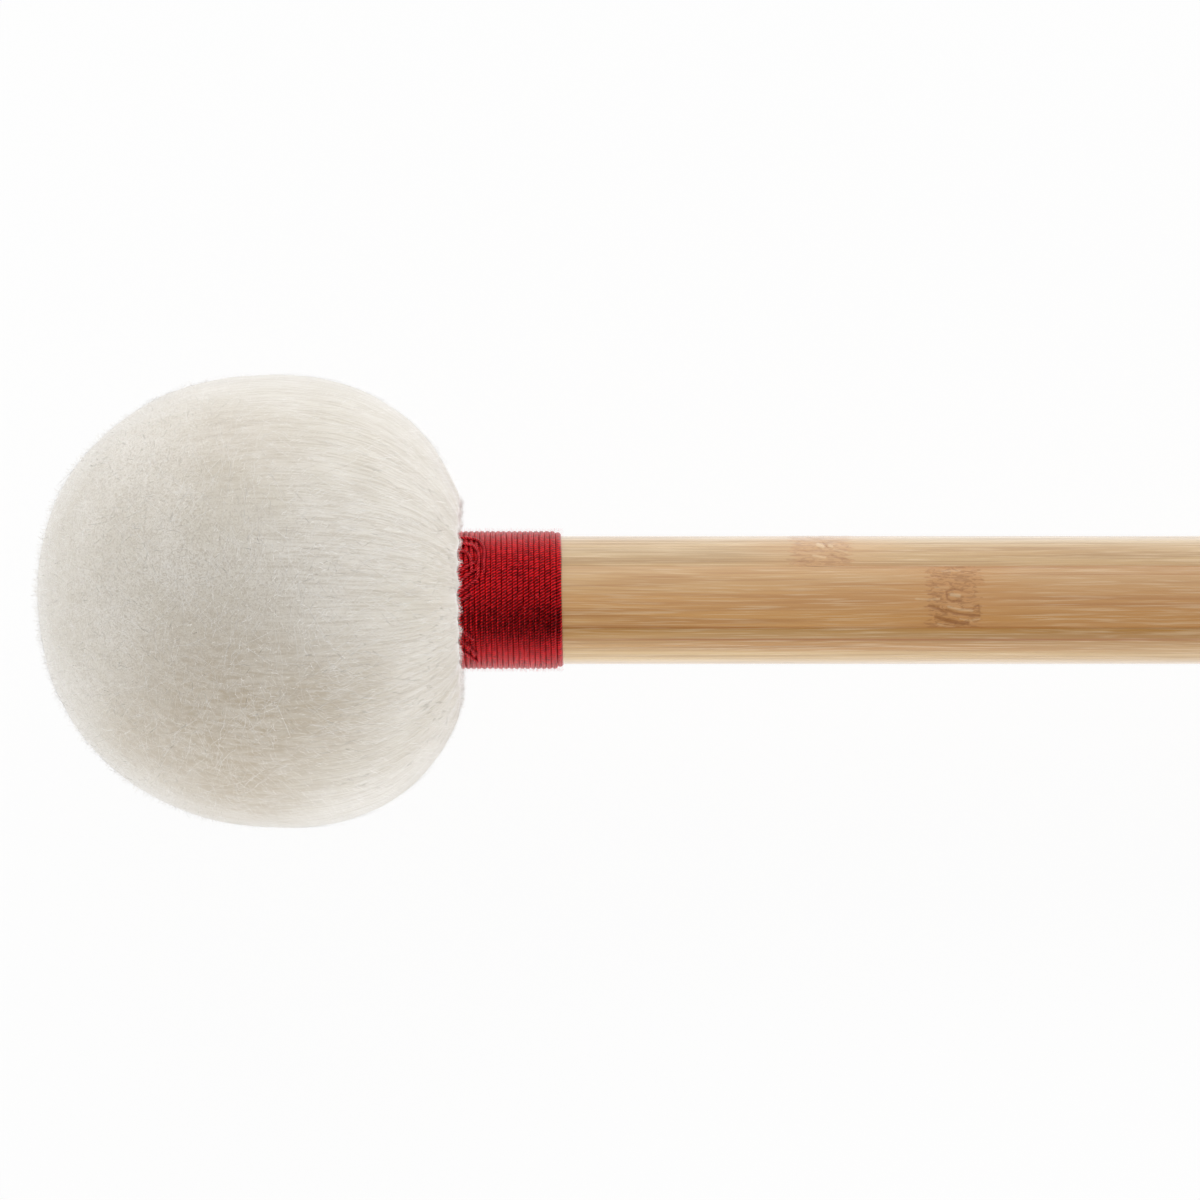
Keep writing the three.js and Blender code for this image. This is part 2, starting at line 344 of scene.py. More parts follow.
def run_tree(tree, source, values):
    """The plain mesh that a tree makes of a source object, which is then removed."""
    modifier = source.modifiers.new(tree.name, "NODES")
    modifier.node_group = tree
    for socket in tree.interface.items_tree:
        label = socket.name.replace(" ", "_")
        if socket.in_out == "INPUT" and label in values:
            modifier[socket.identifier] = values[label]
    graph = bpy.context.evaluated_depsgraph_get()
    mesh = bpy.data.meshes.new_from_object(source.evaluated_get(graph))
    bpy.data.objects.remove(source)
    return mesh


# %% Material helpers
def new_material(name, **constants):
    """A material with one Principled shader, its constants set on the shader's own sockets."""
    material = bpy.data.materials.new(name)
    material.use_nodes = True
    shader = material.node_tree.nodes["Principled BSDF"]
    give(shader, {label.replace("_", " "): value for label, value in constants.items()})
    return material, partial(add_node, material.node_tree), shader


def straight_place(add):
    """Object coordinates, turned back to the straight mallet's axes."""
    turn = LAY.inverted()
    place = add("ShaderNodeTexCoord").outputs["Object"]
    return add("ShaderNodeMapping", [place, turn.to_translation(), turn.to_euler()])


def stretched_noise(add, place, sizes, seed, detail=2.0, distortion=0.0):
    """Noise whose spots have the given size along each axis. The last size stands for the rest."""
    shares = tuple(1 / size for size in (*sizes, sizes[-1], sizes[-1])[:3])
    offset = (seed * 7.3, seed * 3.1, seed * 5.7)
    moved = add(V_PLUS, [add(V_TIMES, [place, shares]), offset])
    return add("ShaderNodeTexNoise", {
        "Vector": moved, "Scale": 1.0, "Detail": detail, "Distortion": distortion})


def painted(add, colour, layers):
    """Lays colours over a colour, one after another, each with a share."""
    for share, tone in layers:
        colour = add(BLEND_COLOURS, [share, colour, linear(tone)])
    return colour


def finish_material(add, shader, colour, height, strength, distance):
    """Gives a shader its colour and the bumps of a height."""
    inputs = {"Height": height, "Strength": strength, "Distance": distance}
    give(shader, {"Base Color": colour, "Normal": add("ShaderNodeBump", inputs)})


# %% [markdown]
# ## Bamboo
# The shaft is laminated bamboo: split culms planed to strips, glued side by side and turned
# round. Bamboo is a grass, so it has no rings, only straight bundles of darker fibre in paler
# pith, and a node where each leaf grew. So the pattern is a noise that changes quickly across the
# shaft and hardly at all along it. A flat pattern could be wrapped round the shaft, but this one
# reads the place in the solid, so the streaks run through to the end grain. Each strip comes from
# another culm, with its own bundles, tone and node.

# %% Bamboo material
DRIFT_SIZE, DRIFT = (45 * MM, 60 * MM), 1.6 * MM  # how far and how slowly the streaks wander
BROAD_SIZE, BROAD_SHARE = (90 * MM, 3.2 * MM), 0.35
# Painted shade: the strips turn darker towards the butt, between these places along the shaft.
SHADE_FROM_X, SHADE_TO_X = 80 * MM, 175 * MM
PAINTED_REFLECTION_FROM, PAINTED_REFLECTION_SHARE, PAINTED_REFLECTION_TONE = 0.9 * SHAFT_RADIUS, 0.3, "#efe6dc"  # painted reflection: paler towards the shaft's edges across Y
# Streaks: size, detail, the values between which they show, most share, and colour if not line's
STREAKS = {
    "bundles": ((45 * MM, 0.75 * MM), 2.0, 0.42, 0.68, 0.42, None),
    "fibres": ((9 * MM, 0.22 * MM), 2.0, 0.48, 0.70, 0.38, "#e2c9a6"),
    "lines": ((60 * MM, 0.5 * MM), 1.0, 0.60, 0.74, 0.40, None),
}
RAGGED_SIZE, RAGGED = (6 * MM, 0.5 * MM), 0.7 * MM  # the ends of a node's mark
NODE_EDGE, AROUND_FROM, AROUND_TO = 0.86, 3.4, 0.9  # for its half length
SPECK_SIZE = (1.5 * MM, 0.45 * MM)
BAMBOO_RELIEF = (0.35, 0.03 * MM)  # strength and depth of the bumps
# The last share is for the painted highlights on a node's ridges.
AROUND_SHARE, NODE_SHARE, SPECK_SHARE, DARK_SCAR, PAINTED_GLINT_SHARE = 0.4, 0.5, 0.42, 0.6, 0.4
# Lines that the glue has stained: place across the shaft, half width, least and most share
STAIN_SIZE = (35 * MM, 4 * MM)
STAINED_LINES = [
    (LEFT_GLUE_Y, 0.25 * MM, 0.1, 0.3),
    (RIGHT_GLUE_Y, 0.28 * MM, 0.3, 0.65),
    (RIGHT_GLUE_Y - 1.8 * MM, 0.25 * MM, 0.4, 0.75),
]


def bamboo(name, seed, tones, line, across, shade_to_butt, node):
    """A thinly oiled strip. A culm's fibre is denser near its skin, so the first tone turns to the
    second across a strip. The strip is painted darker towards the butt, as painted shade, and
    paler near the shaft's edges across Y, as a painted reflection. Over that lie bundles, lines
    and a node, whose pale strokes are painted highlights. The oil is a clear coat."""
    node_x, node_half, node_strength = node
    material, add, shader = new_material(
        name, Roughness=0.3, IOR=1.5, Coat_Weight=1.0, Coat_Roughness=0.25, Coat_IOR=1.6)
    place = straight_place(add)
    x, y = add("ShaderNodeSeparateXYZ", [place]).outputs[:2]
    drift = stretched_noise(add, place, DRIFT_SIZE, seed + 0.5, 0.0)
    shift = add(TIMES, [drift, DRIFT])
    bent = add(V_PLUS, [place, add("ShaderNodeCombineXYZ", {"Y": shift, "Z": shift})])

    broad = stretched_noise(add, bent, BROAD_SIZE, seed, 1.0)
    uneven = add(SMOOTH, [broad, 0.3, 0.7, -BROAD_SHARE, BROAD_SHARE])
    tone = add(PLUS, [add(SMOOTH, [y, *across]), uneven], use_clamp=True)
    # Painted shade, darker towards the butt.
    painted_shade = add(SMOOTH, [x, SHADE_FROM_X, SHADE_TO_X, 0.0, shade_to_butt])
    # Painted reflection: the strip is made paler towards the shaft's edges across Y.
    edge = add(SMOOTH, [add(ABSOLUTE, [y]), PAINTED_REFLECTION_FROM, SHAFT_RADIUS, 0.0, PAINTED_REFLECTION_SHARE])
    layers = [(tone, tones[1]), (painted_shade, line), (edge, PAINTED_REFLECTION_TONE)]
    pattern = {}
    for number, label in enumerate(STREAKS, 1):
        size, detail, low, high, most, streak_tone = STREAKS[label]
        pattern[label] = stretched_noise(add, bent, size, seed + number, detail)
        share = add(SMOOTH, [pattern[label], low, high, 0.0, most])
        layers.append((share, streak_tone or line))

    ragged = stretched_noise(add, place, RAGGED_SIZE, seed + 4, 1.0)
    ragged = add(SMOOTH, [ragged, 0.3, 0.7, -RAGGED, RAGGED])
    away = add(ABSOLUTE, [add(PLUS, [add(PLUS, [x, -node_x]), ragged])])
    near = add(SMOOTH, [away, node_half, NODE_EDGE * node_half])
    around = add(SMOOTH, [away, AROUND_FROM * node_half, AROUND_TO * node_half])
    specks = stretched_noise(add, place, SPECK_SIZE, seed + 5, 2.0, 1.4)
    specks = add(SMOOTH, [specks, 0.46, 0.60])
    strength = add(TIMES, [near, node_strength])
    marks = add(TIMES, [specks, strength])
    for value, most, tone in ((around, AROUND_SHARE * node_strength, "#c08a4e"),
                              (strength, NODE_SHARE, "#c08a54"), (marks, SPECK_SHARE, "#8a5a30")):
        layers.append((add(TIMES, [value, most]), tone))
    scar_and_glint = add("ShaderNodeAttribute", attribute_name="scar_and_glint").outputs["Fac"]
    # Dark strokes are scars; pale strokes are painted highlights on the node's ridges.
    for deepest, most, tone in ((-0.9, DARK_SCAR, "#8a5426"), (0.9, PAINTED_GLINT_SHARE, "#ecd3ab")):
        layers.append((add(SMOOTH, [scar_and_glint, 0.0, deepest, 0.0, most]), tone))

    stain = stretched_noise(add, place, STAIN_SIZE, 6.5, 1.0)
    for line_y, half_width, least, most in STAINED_LINES:
        off = add(ABSOLUTE, [add(PLUS, [y, -line_y])])
        close = add(SMOOTH, [off, half_width, 0.2 * half_width])
        depth = add(SMOOTH, [stain, 0.35, 0.6, least, most])
        layers.append((add(TIMES, [close, depth]), "#a0601f"))

    height = add(MINUS, [pattern["fibres"], marks])
    colour = painted(add, linear(tones[0]), layers)
    finish_material(add, shader, colour, height, *BAMBOO_RELIEF)
    give(shader, {"Roughness": add(SMOOTH, [pattern["bundles"], 0.3, 0.7, 0.26, 0.38])})
    return material


# %% The bamboo of each strip
# Each strip's node: its place along the shaft, its half length and its strength
NODES = [(116.5 * MM, 4.6 * MM, 0.7), (136 * MM, 4.0 * MM, 1.0), (262 * MM, 4.2 * MM, 0.9)]
# Each strip: its name, seed, tones, line colour, where its tone turns, how much painted shade
# darkens it towards the butt, and its node.
BAMBOO = [
    bamboo("oiled_bamboo_left", 3.1, ("#cab18a", "#be9863"), "#90652f",
           (SHAFT_RADIUS, LEFT_GLUE_Y), 0.12, NODES[0]),
    bamboo("oiled_bamboo_middle", 8.7, ("#cfaa7a", "#cb9a60"), "#a6703d",
           (LEFT_GLUE_Y - 1 * MM, -0.5 * MM), 0.35, NODES[1]),
    bamboo("oiled_bamboo_right", 5.2, ("#cbaa74", "#b88543"), "#9c733c",
           (-8.8 * MM, -6.4 * MM), 0.35, NODES[2]),
]
print("bamboo:", *(material.name for material in BAMBOO))

# %% [markdown]
# ## The shaft's three strips
# Each strip is a slice of the turned dowel between two glue faces. A Boolean could cut it out, but
# a stack of rings, each one arcs of the dowel and straight glue faces, has even faces, which take
# relief well. A node stands a hair proud of the turned surface, so the rings lie closer there.
# Where the leaf sat, the bundles turn aside and leave small scars, with small ridges between them.
# They are drawn as strokes, seen in the photograph, and kept at each point of the mesh in an
# attribute that the bamboo reads. A dark stroke is a sunk scar; a pale stroke is a raised ridge
# with a painted highlight.

# %% Scars and painted highlights at the nodes
# Each stroke: how pale, a painted highlight (or dark, a scar, below zero), its width in pixels,
# and its corners (X, Y) there
STROKES = [
    (-0.5, 2.2, [(929, 576), (944, 578)]),
    (-0.4, 2.0, [(930, 583), (943, 585)]),
    (-0.8, 2.2, [(960, 591), (951, 589), (944, 592), (945, 599), (950, 602), (959, 601)]),
    (-0.5, 2.2, [(926, 594), (934, 596), (940, 600)]),
    (-0.5, 1.8, [(957, 590), (967, 594)]),
    (-0.8, 3.0, [(927, 606), (936, 609), (944, 613)]),
    (-0.9, 2.6, [(944, 610), (954, 614), (966, 615), (977, 616)]),
    (-1.0, 3.6, [(934, 617), (944, 620), (955, 623), (965, 623)]),
    (-0.6, 2.2, [(971, 609), (976, 605), (977, 611)]),
    (0.8, 3.2, [(949, 595), (957, 596)]),
    (0.7, 2.2, [(946, 607), (958, 610), (970, 611)]),
    (0.6, 2.2, [(914, 599), (928, 600), (938, 599)]),
    (0.5, 2.2, [(936, 624), (944, 627), (952, 627)]),
    (0.5, 2.2, [(958, 619), (968, 621), (977, 619)]),
    (0.4, 2.2, [(933, 588), (946, 588)]),
    (0.4, 2.2, [(940, 572), (958, 571)]),
    (-0.4, 2.0, [(950, 575), (970, 577)]),
    (0.9, 3.4, [(817, 545), (822, 547)]),
    (0.8, 2.8, [(828, 546), (831, 547)]),
    (-0.6, 2.2, [(822, 543), (827, 548)]),
    (-0.5, 2.4, [(831, 556), (839, 559), (847, 560)]),
    (-0.4, 2.4, [(786, 560), (800, 562), (813, 561)]),
    (0.6, 2.2, [(812, 556), (824, 558)]),
    (-0.3, 2.0, [(797, 551), (815, 553)]),
    (0.5, 2.0, [(833, 550), (846, 553)]),
]


def scar_and_glint_at(x, y):
    """How pale or dark the strokes make the shaft at each place along and across it, in metres.
    The pale ones are painted highlights.
    """
    pixel = np.stack([x / MM * PIXELS_PER_MM + FRONT_PIXEL_X,
                      SHAFT_PIXEL_Y - y / MM * PIXELS_PER_MM], axis=-1)
    scar_and_glint = np.zeros(pixel.shape[:-1])
    for tone, width, corners in STROKES:
        nearest = np.full(scar_and_glint.shape, np.inf)
        for a, b in zip(np.array(corners[:-1], float), np.array(corners[1:], float)):
            share = np.clip(((pixel - a) @ (b - a)) / ((b - a) @ (b - a)), 0, 1)
            from_stroke = np.linalg.norm(pixel - a - share[..., None] * (b - a), axis=-1)
            nearest = np.minimum(nearest, from_stroke)
        mark = tone * np.clip(1.3 - 0.8 * nearest / (width / 2), 0, 1)  # its edge is soft
        scar_and_glint = np.where(abs(mark) > abs(scar_and_glint), mark, scar_and_glint)
    return scar_and_glint


print(len(STROKES), "strokes")

# %% The strips
ARC_POINTS, CHORD_POINTS, ROUND_POINTS = 60, 10, 13
RING_STEP, NODE_STEP = 4 * MM, 0.16 * MM
BUTT_ROUND = 3 * MM
TIP_CHAMFER = 1 * MM
NODE_RELIEF, SWELL, SWELL_FADE = 0.05 * MM, 0.3, 1.6
BUMP_LENGTH, BUMP_WIDTH = 1.6 * MM, 0.6 * MM  # on a node
SHARP_ANGLE = math.radians(35)
OUTSIDE = 2 * SHAFT_RADIUS  # a face there cuts nothing off
STRIPS = {  # the faces of each strip, across the shaft
    "bamboo_strip_left": (LEFT_GLUE_Y, OUTSIDE),
    "bamboo_strip_middle": (RIGHT_GLUE_Y, LEFT_GLUE_Y),
    "bamboo_strip_right": (-OUTSIDE, RIGHT_GLUE_Y),
}


def outline_of_strip(radius, low_y, high_y):
    """Points (y, z) round a slice of the dowel, the same number for every radius."""
    low = math.asin(max(low_y / radius, -1))
    high = math.asin(min(high_y / radius, 1))
    points = []
    for first, last, above in ((low, high, 1), (high, low, -1)):
        for angle in np.linspace(first, last, ARC_POINTS):
            points.append((radius * math.sin(angle), above * radius * math.cos(angle)))
        edge = above * radius * math.cos(last)
        for z in np.linspace(edge, -edge, CHORD_POINTS + 2)[1:-1]:
            points.append((radius * math.sin(last), z))
    return np.array(points)


def stations(node_x, node_half):
    """Places along the shaft at which a strip has a ring, with the dowel's radius there."""
    coarse = np.arange(SHAFT_TIP_X + 2 * TIP_CHAMFER, MALLET_LENGTH - BUTT_ROUND, RING_STEP)
    coarse = coarse[abs(coarse - node_x) > 2 * node_half]
    fine = np.arange(node_x - 2 * node_half, node_x + 2 * node_half, NODE_STEP)
    tip = [(SHAFT_TIP_X, SHAFT_RADIUS - TIP_CHAMFER), (SHAFT_TIP_X + TIP_CHAMFER, SHAFT_RADIUS)]
    straight = [(x, SHAFT_RADIUS) for x in sorted([*coarse, *fine])]
    turn = []
    for angle in np.linspace(0, math.pi / 2, ROUND_POINTS):
        drop = BUTT_ROUND * (1 - math.cos(angle))
        x = MALLET_LENGTH - BUTT_ROUND + BUTT_ROUND * math.sin(angle)
        turn.append((x, SHAFT_RADIUS - drop))
    return tip + straight + turn


def strip_mesh(name, low_y, high_y, node_x, node_half, seed):
    """A strip as a stack of outlines, with the bumps of its node, sunk at its scars and raised
    under its painted highlights.
    """
    rings = []
    for x, radius in stations(node_x, node_half):
        ring = outline_of_strip(radius, low_y, high_y)
        swell = max(0.0, 1 - ((x - node_x) / node_half) ** 2 / SWELL_FADE)
        if swell > 0:
            spots = [noise.noise(Vector((x / BUMP_LENGTH, y / BUMP_WIDTH, z / BUMP_WIDTH + seed)))
                     for y, z in ring]
            scar_and_glint = scar_and_glint_at(np.full(len(ring), x), ring[:, 0])
            relief = NODE_RELIEF * (swell * (SWELL + np.array(spots)) + scar_and_glint)
            on_surface = np.hypot(*ring.T) > radius * 0.999
            ring *= 1 + (relief * on_surface / radius)[:, None]
        rings.append(np.column_stack([np.full(len(ring), x), ring]))
    first, last = (np.tile(ring.mean(0), (len(ring), 1)) for ring in (rings[0], rings[-1]))
    return mesh_of_rings(name, np.array([first, *rings, last]))


for number, (node, faces) in enumerate(STRIPS.items()):
    mesh = strip_mesh(node, *faces, *NODES[number][:2], number * 5.0)
    places = np.array([v.co for v in mesh.vertices])
    scar_and_glint = mesh.attributes.new("scar_and_glint", "FLOAT", "POINT")
    scar_and_glint.data.foreach_set("value", scar_and_glint_at(places[:, 0], places[:, 1]))
    piece_from("turned_" + node, mesh, BAMBOO[number], node)
    mesh.set_sharp_from_angle(angle=SHARP_ANGLE)

# %% [markdown]
# ## Wool
# The head's cover is carded wool felted to a soft skin, an off-white matt mat of crimped fibres.
# The mat lies every way at the front of the ball, and at the back it is combed towards the neck.
# One noise can't do both, so two are blended by the place. Spots on top are painted darker,
# partly wear from blows and partly painted shade. Towards the neck the wool is painted a little
# darker, partly denser combed wool and partly painted shade of the gathers, and close round the
# mouth it is painted nearly white, as painted light on the wall there, which lies in shade. Fibres
# at the rim catch the light, which the shader's sheen stands for.

# %% Wool material
STRAND = 0.3 * MM  # a wool fibre is a tenth of this, which no picture of the head could show
MATTED_TO_X, COMBED_FROM_X = 24 * MM, 62 * MM
SPREAD_RADIUS = 30 * MM  # where the combed strands are as wide as STRAND
SIDE_COMBING = 0.6  # how much sooner than at the top the wool lies combed at the sides
CLOUD_SIZE, MOTTLE_SIZE, SPOT_BREAKUP_SIZE = (14 * MM,), (1.8 * MM,), (2.6 * MM, 0.7 * MM)
WOOL_RELIEF = (0.45, 0.12 * MM)
# Painted light: near the mouth, the wall of the cover that faces the shaft lies in shade, and is
# painted nearly white.
MOUTH_PAINTED_LIGHT = "#fdfcfa"
PAINTED_LIGHT_FROM, PAINTED_LIGHT_TO = 13 * MM, 17 * MM  # from the shaft's axis
PAINTED_LIGHT_FROM_X, PAINTED_LIGHT_TO_X = 50 * MM, 58 * MM
# Spots painted darker, partly wear from blows and partly painted shade, and one dark speck:
# centre, inner and outer size in mm, share
WORN_AND_SHADED_SPOTS = [
    ((30, -18, 29), 4, 25, 0.85),
    ((30, -30, 16), 2, 17, 0.7),
    ((15, -22, 20), 2, 11, 0.5),
    ((46, -11.8, 28.5), 0.4, 1.4, 0.8),
    ((46, -14, 26), 4, 13, 0.35),
    ((31, 23, 24), 3, 14, 0.3),
]


def wool(name, pale, deep, speck_and_shade, worn_and_shade):
    """Felted wool. Its strands curl every way at the front and run to the neck at the back, where
    the pattern is spaced by the angle round the shaft, so it draws together."""
    material, add, shader = new_material(
        name, Roughness=0.95, Specular_IOR_Level=0.1, Sheen_Weight=0.8, Sheen_Roughness=0.5)
    place = straight_place(add)
    x, y, z = add("ShaderNodeSeparateXYZ", [place]).outputs
    off_axis = add("ShaderNodeCombineXYZ", {"Y": y, "Z": z})
    drawn = add(V_SCALED, [add(V_UNIT, [off_axis]), SPREAD_RADIUS])
    drawn = add(V_PLUS, [drawn, add("ShaderNodeCombineXYZ", [x])])
    clouds = stretched_noise(add, place, CLOUD_SIZE, 1.0)
    mottle = stretched_noise(add, place, MOTTLE_SIZE, 2.0, 3.0, 0.8)
    matted = stretched_noise(add, place, (2 * STRAND,), 3.0, 2.0, 2.5)
    combed = stretched_noise(add, drawn, (6 * MM, STRAND), 4.0, 2.0, 0.3)
    spot_breakup = stretched_noise(add, place, SPOT_BREAKUP_SIZE, 7.0, 2.0, 0.5)

    reach = add(PLUS, [x, add(TIMES, [add(ABSOLUTE, [y]), SIDE_COMBING])])
    share = add(SMOOTH, [reach, MATTED_TO_X, COMBED_FROM_X])
    strands = add(BLEND, [share, matted, combed])
    layers = [(add(SMOOTH, [clouds, 0.35, 0.65]), deep),
              (add(SMOOTH, [mottle, 0.35, 0.75, 0.0, 0.4]), deep)]
    spot_breakup = add(SMOOTH, [spot_breakup, 0.35, 0.65, 0.5, 1.0])
    # Darker spots: partly wear, partly painted shade.
    for centre, least, most, depth in WORN_AND_SHADED_SPOTS:
        away = add(V_APART, [place, tuple(part * MM for part in centre)])
        near = add(SMOOTH, [away, most * MM, least * MM, 0.0, depth])
        layers.append((add(TIMES, [near, spot_breakup]), worn_and_shade))
    # Darker towards the neck: partly denser combed wool, partly painted shade of the gathers.
    layers.append((add(SMOOTH, [x, 52 * MM, 64 * MM, 0.0, 0.1]), speck_and_shade))
    contrast = add(SMOOTH, [share, 0.0, 1.0, 0.65, 0.45])
    layers.append((add(TIMES, [add(SMOOTH, [strands, 0.42, 0.64]), contrast]), speck_and_shade))
    # Painted light on the shaded wall by the mouth.
    at_neck = add(SMOOTH, [x, PAINTED_LIGHT_FROM_X, PAINTED_LIGHT_TO_X])
    close = add(SMOOTH, [add(V_LENGTH, [off_axis]), PAINTED_LIGHT_TO, PAINTED_LIGHT_FROM])
    layers.append((add(TIMES, [at_neck, close]), MOUTH_PAINTED_LIGHT))
    finish_material(add, shader, painted(add, linear(pale), layers), strands, *WOOL_RELIEF)
    return material


fleece = wool("felted_wool", "#d7d2c9", "#cdc7bb", "#b2a899", "#ab9c85")
batting = wool("wool_batting", "#ece8df", "#e0dbd0", "#d2ccc0", "#e0dbd0")
dense_felt = wool("dense_wool_felt", "#c6c1b7", "#b3ada2", "#9b958a", "#b3ada2")
print("wool with", len(WORN_AND_SHADED_SPOTS), "worn spots")

# %% [markdown]
# ## The shape of the head
# The ball is longer in front of its widest ring than behind it, and its back turns in sharply. A
# stretched sphere would be too pointed there, so each half of its outline is a superellipse: an
# ellipse whose exponent fills it out. The layers inside repeat it at their depth.

# %% Outline of the head
HEAD_RADIUS = float(straight_box("wool_cover")[1][1])
FRONT_REACH, FRONT_FULLNESS = 36.3 * MM, 2.12
OUTER_BACK = (29.6 * MM, 2.3)
INNER_BACK = (28.3 * MM, 2.55)  # the layers inside are a little shorter and squarer behind
NECK_RADIUS = SHAFT_RADIUS + 0.3 * MM
LIP_RADIUS, LIP_ROUND = 12.4 * MM, 1.2 * MM


def back_x(depth, distance, back=OUTER_BACK):
    """Where the back of a surface is, at a distance from the axis."""
    reach, fullness = back
    share = 1 - (distance / (HEAD_RADIUS - depth)) ** fullness
    return FRONT_REACH + (reach - depth) * share ** (1 / fullness)


def head_outline(depth, neck, front_rows, back_rows, back=OUTER_BACK):
    """Points (X, distance from the axis) from the front pole to the neck."""
    fullness = back[1]
    radius = HEAD_RADIUS - depth
    points = []
    for i in range(front_rows + 1):
        angle = i / front_rows * math.pi / 2
        ahead = (FRONT_REACH - depth) * max(math.cos(angle), 0) ** (2 / FRONT_FULLNESS)
        points.append((FRONT_REACH - ahead, radius * math.sin(angle) ** (2 / FRONT_FULLNESS)))
    neck_angle = math.asin((neck / radius) ** (fullness / 2))
    for i in range(1, back_rows + 1):
        angle = math.pi / 2 - i / back_rows * (math.pi / 2 - neck_angle)
        distance = radius * math.sin(angle) ** (2 / fullness)
        points.append((back_x(depth, distance, back), distance))
    return points


LIP_X = back_x(0, LIP_RADIUS)
MOUTH_X = float(winding_low[0]) - 0.5 * MM
print(f"lip at {LIP_X / MM:.1f} mm, mouth at {MOUTH_X / MM:.1f} mm")

# %% [markdown]
# ## The wool cover
# A cloth simulation would find no folds in felt stretched over a firm core. So the cover starts as
# the turned outline, and then its points are moved as a hand would leave them. The ball sags a
# little, the padding makes broad lumps, gathers run out from the neck, and fine ridges follow the
# way the wool lies. The binding pulls the cover back round its mouth.

# %% The pull of the binding
BITES, BITE_DEPTH, BITE_SHARPNESS = 36, 0.5 * MM, 3
HOLLOW_WIDTH, HOLLOW_DEPTH, HOLLOW_SHARPNESS = 4.6 * MM, 1.4 * MM, 1.5
LEFT_DEPTH, TOP_DEPTH = 0.3 * MM, 0.5 * MM  # how much further the thread pulls there
EDGE_WIDTH = 2.6 * MM
INSIDE_FROM, INSIDE_WIDTH = LIP_RADIUS - 2 * MM, 0.8 * MM


def mouth_pull(distance, left, top):
    """How far the binding pulls the cover back, at a distance from the axis and a place round it.
    Its edge is scalloped, as the thread bites into it at each stitch."""
    angle = np.arctan2(top, left)
    wave = 0.5 + 0.5 * np.cos(BITES * angle + 2.5 * np.sin(3 * angle) + 2 * np.sin(7 * angle + 1))
    hollow = np.clip(1 - (distance - LIP_RADIUS) / HOLLOW_WIDTH, 0, 1) ** HOLLOW_SHARPNESS
    edge = np.clip(1 - (distance - LIP_RADIUS) / EDGE_WIDTH, 0, 1)
    inside = np.clip((distance - INSIDE_FROM) / INSIDE_WIDTH, 0, 1)
    broad = (HOLLOW_DEPTH + LEFT_DEPTH * left) * hollow
    close = (TOP_DEPTH * np.maximum(top, 0) + BITE_DEPTH * wave ** BITE_SHARPNESS) * edge
    return (broad + close) * inside


# %% What the hand leaves
LUMPS = ((13 * MM, 0.25 * MM), (4.2 * MM, 0.13 * MM))  # the size and the height of each kind
RIDGE_HEIGHT, RIDGE_LENGTH, RIDGE_WIDTH, MATTED_SIZE = 0.07 * MM, 6 * MM, 0.85 * MM, 0.9 * MM
RIDGES_FROM_X, RIDGES_OVER = 30 * MM, 25 * MM
GATHERS, GATHER_DEPTH, GATHER_REACH, GATHER_FADE = 27, 0.22 * MM, 15 * MM, 1.5
GATHER_UNEVEN, GATHER_WOBBLE = 0.6, 2.2  # in depth, and in spacing
HELD_TO, HELD_WIDTH = 10.4 * MM, 2 * MM  # the thread holds the cover still so far from the axis
LEAN, LEAN_FROM_X = -0.022, 26 * MM  # sideways for each unit along the shaft
LOOSE_WIDTH = 5 * MM


def height_at(x, y, z):
    """How far lumps, ridges and gathers raise the cover at a place."""
    distance, angle = math.hypot(y, z), math.atan2(z, y)
    round_y, round_z = math.cos(angle), math.sin(angle)
    lumps = sum(noise.noise(Vector((x, y, z)) / size) * height for size, height in LUMPS)
    back = min(max((x - RIDGES_FROM_X) / RIDGES_OVER, 0), 1)
    scale = HEAD_RADIUS / RIDGE_WIDTH
    combed = noise.noise(Vector((x / RIDGE_LENGTH, round_y * scale, round_z * scale)))
    matted = noise.noise(Vector((x, y, z)) / MATTED_SIZE)
    ridges = (back * combed + (1 - back) * matted) * RIDGE_HEIGHT
    fold = 0.0
    reach = 1 - max(distance - LIP_RADIUS, 0) / GATHER_REACH
    if x > FRONT_REACH and reach > 0:
        uneven = 1 + GATHER_UNEVEN * noise.noise(Vector((round_y * 4, round_z * 4, 7)))
        wobble = GATHER_WOBBLE * noise.noise(Vector((round_y * 2, round_z * 2, 3)))
        fold = math.cos(GATHERS * angle + wobble) * GATHER_DEPTH * uneven * reach ** GATHER_FADE
    return lumps + ridges + fold


def moved_by_hand(rings):
    """The outer rows of the cover with its lean, lumps, gathers and ridges."""
    tangent_along = np.gradient(rings, axis=0)
    tangent_round = np.roll(rings, -1, axis=1) - np.roll(rings, 1, axis=1)
    normal = np.cross(tangent_round, tangent_along)
    normal /= np.maximum(np.linalg.norm(normal, axis=2, keepdims=True), 1e-12)
    if (normal * (rings - np.array([FRONT_REACH, 0, 0]))).sum() < 0:
        normal = -normal
    normal[0] = (-1, 0, 0)
    shift = np.array([[height_at(*point) for point in ring] for ring in rings])
    x, y, z = np.moveaxis(rings, 2, 0)
    distance = np.hypot(y, z)
    shift *= np.where(x < FRONT_REACH, 1, np.clip((distance - HELD_TO) / HELD_WIDTH, 0, 1))
    moved = rings + normal * shift[..., None]
    loose = np.where(x < FRONT_REACH, 1, np.clip((distance - LIP_RADIUS) / LOOSE_WIDTH, 0, 1))
    moved[..., 1] += LEAN * (x - LEAN_FROM_X) * loose
    left, top = (part / np.maximum(distance, 1e-9) for part in (y, z))
    moved[..., 0] -= mouth_pull(distance, left, top) * (x > FRONT_REACH)
    return moved


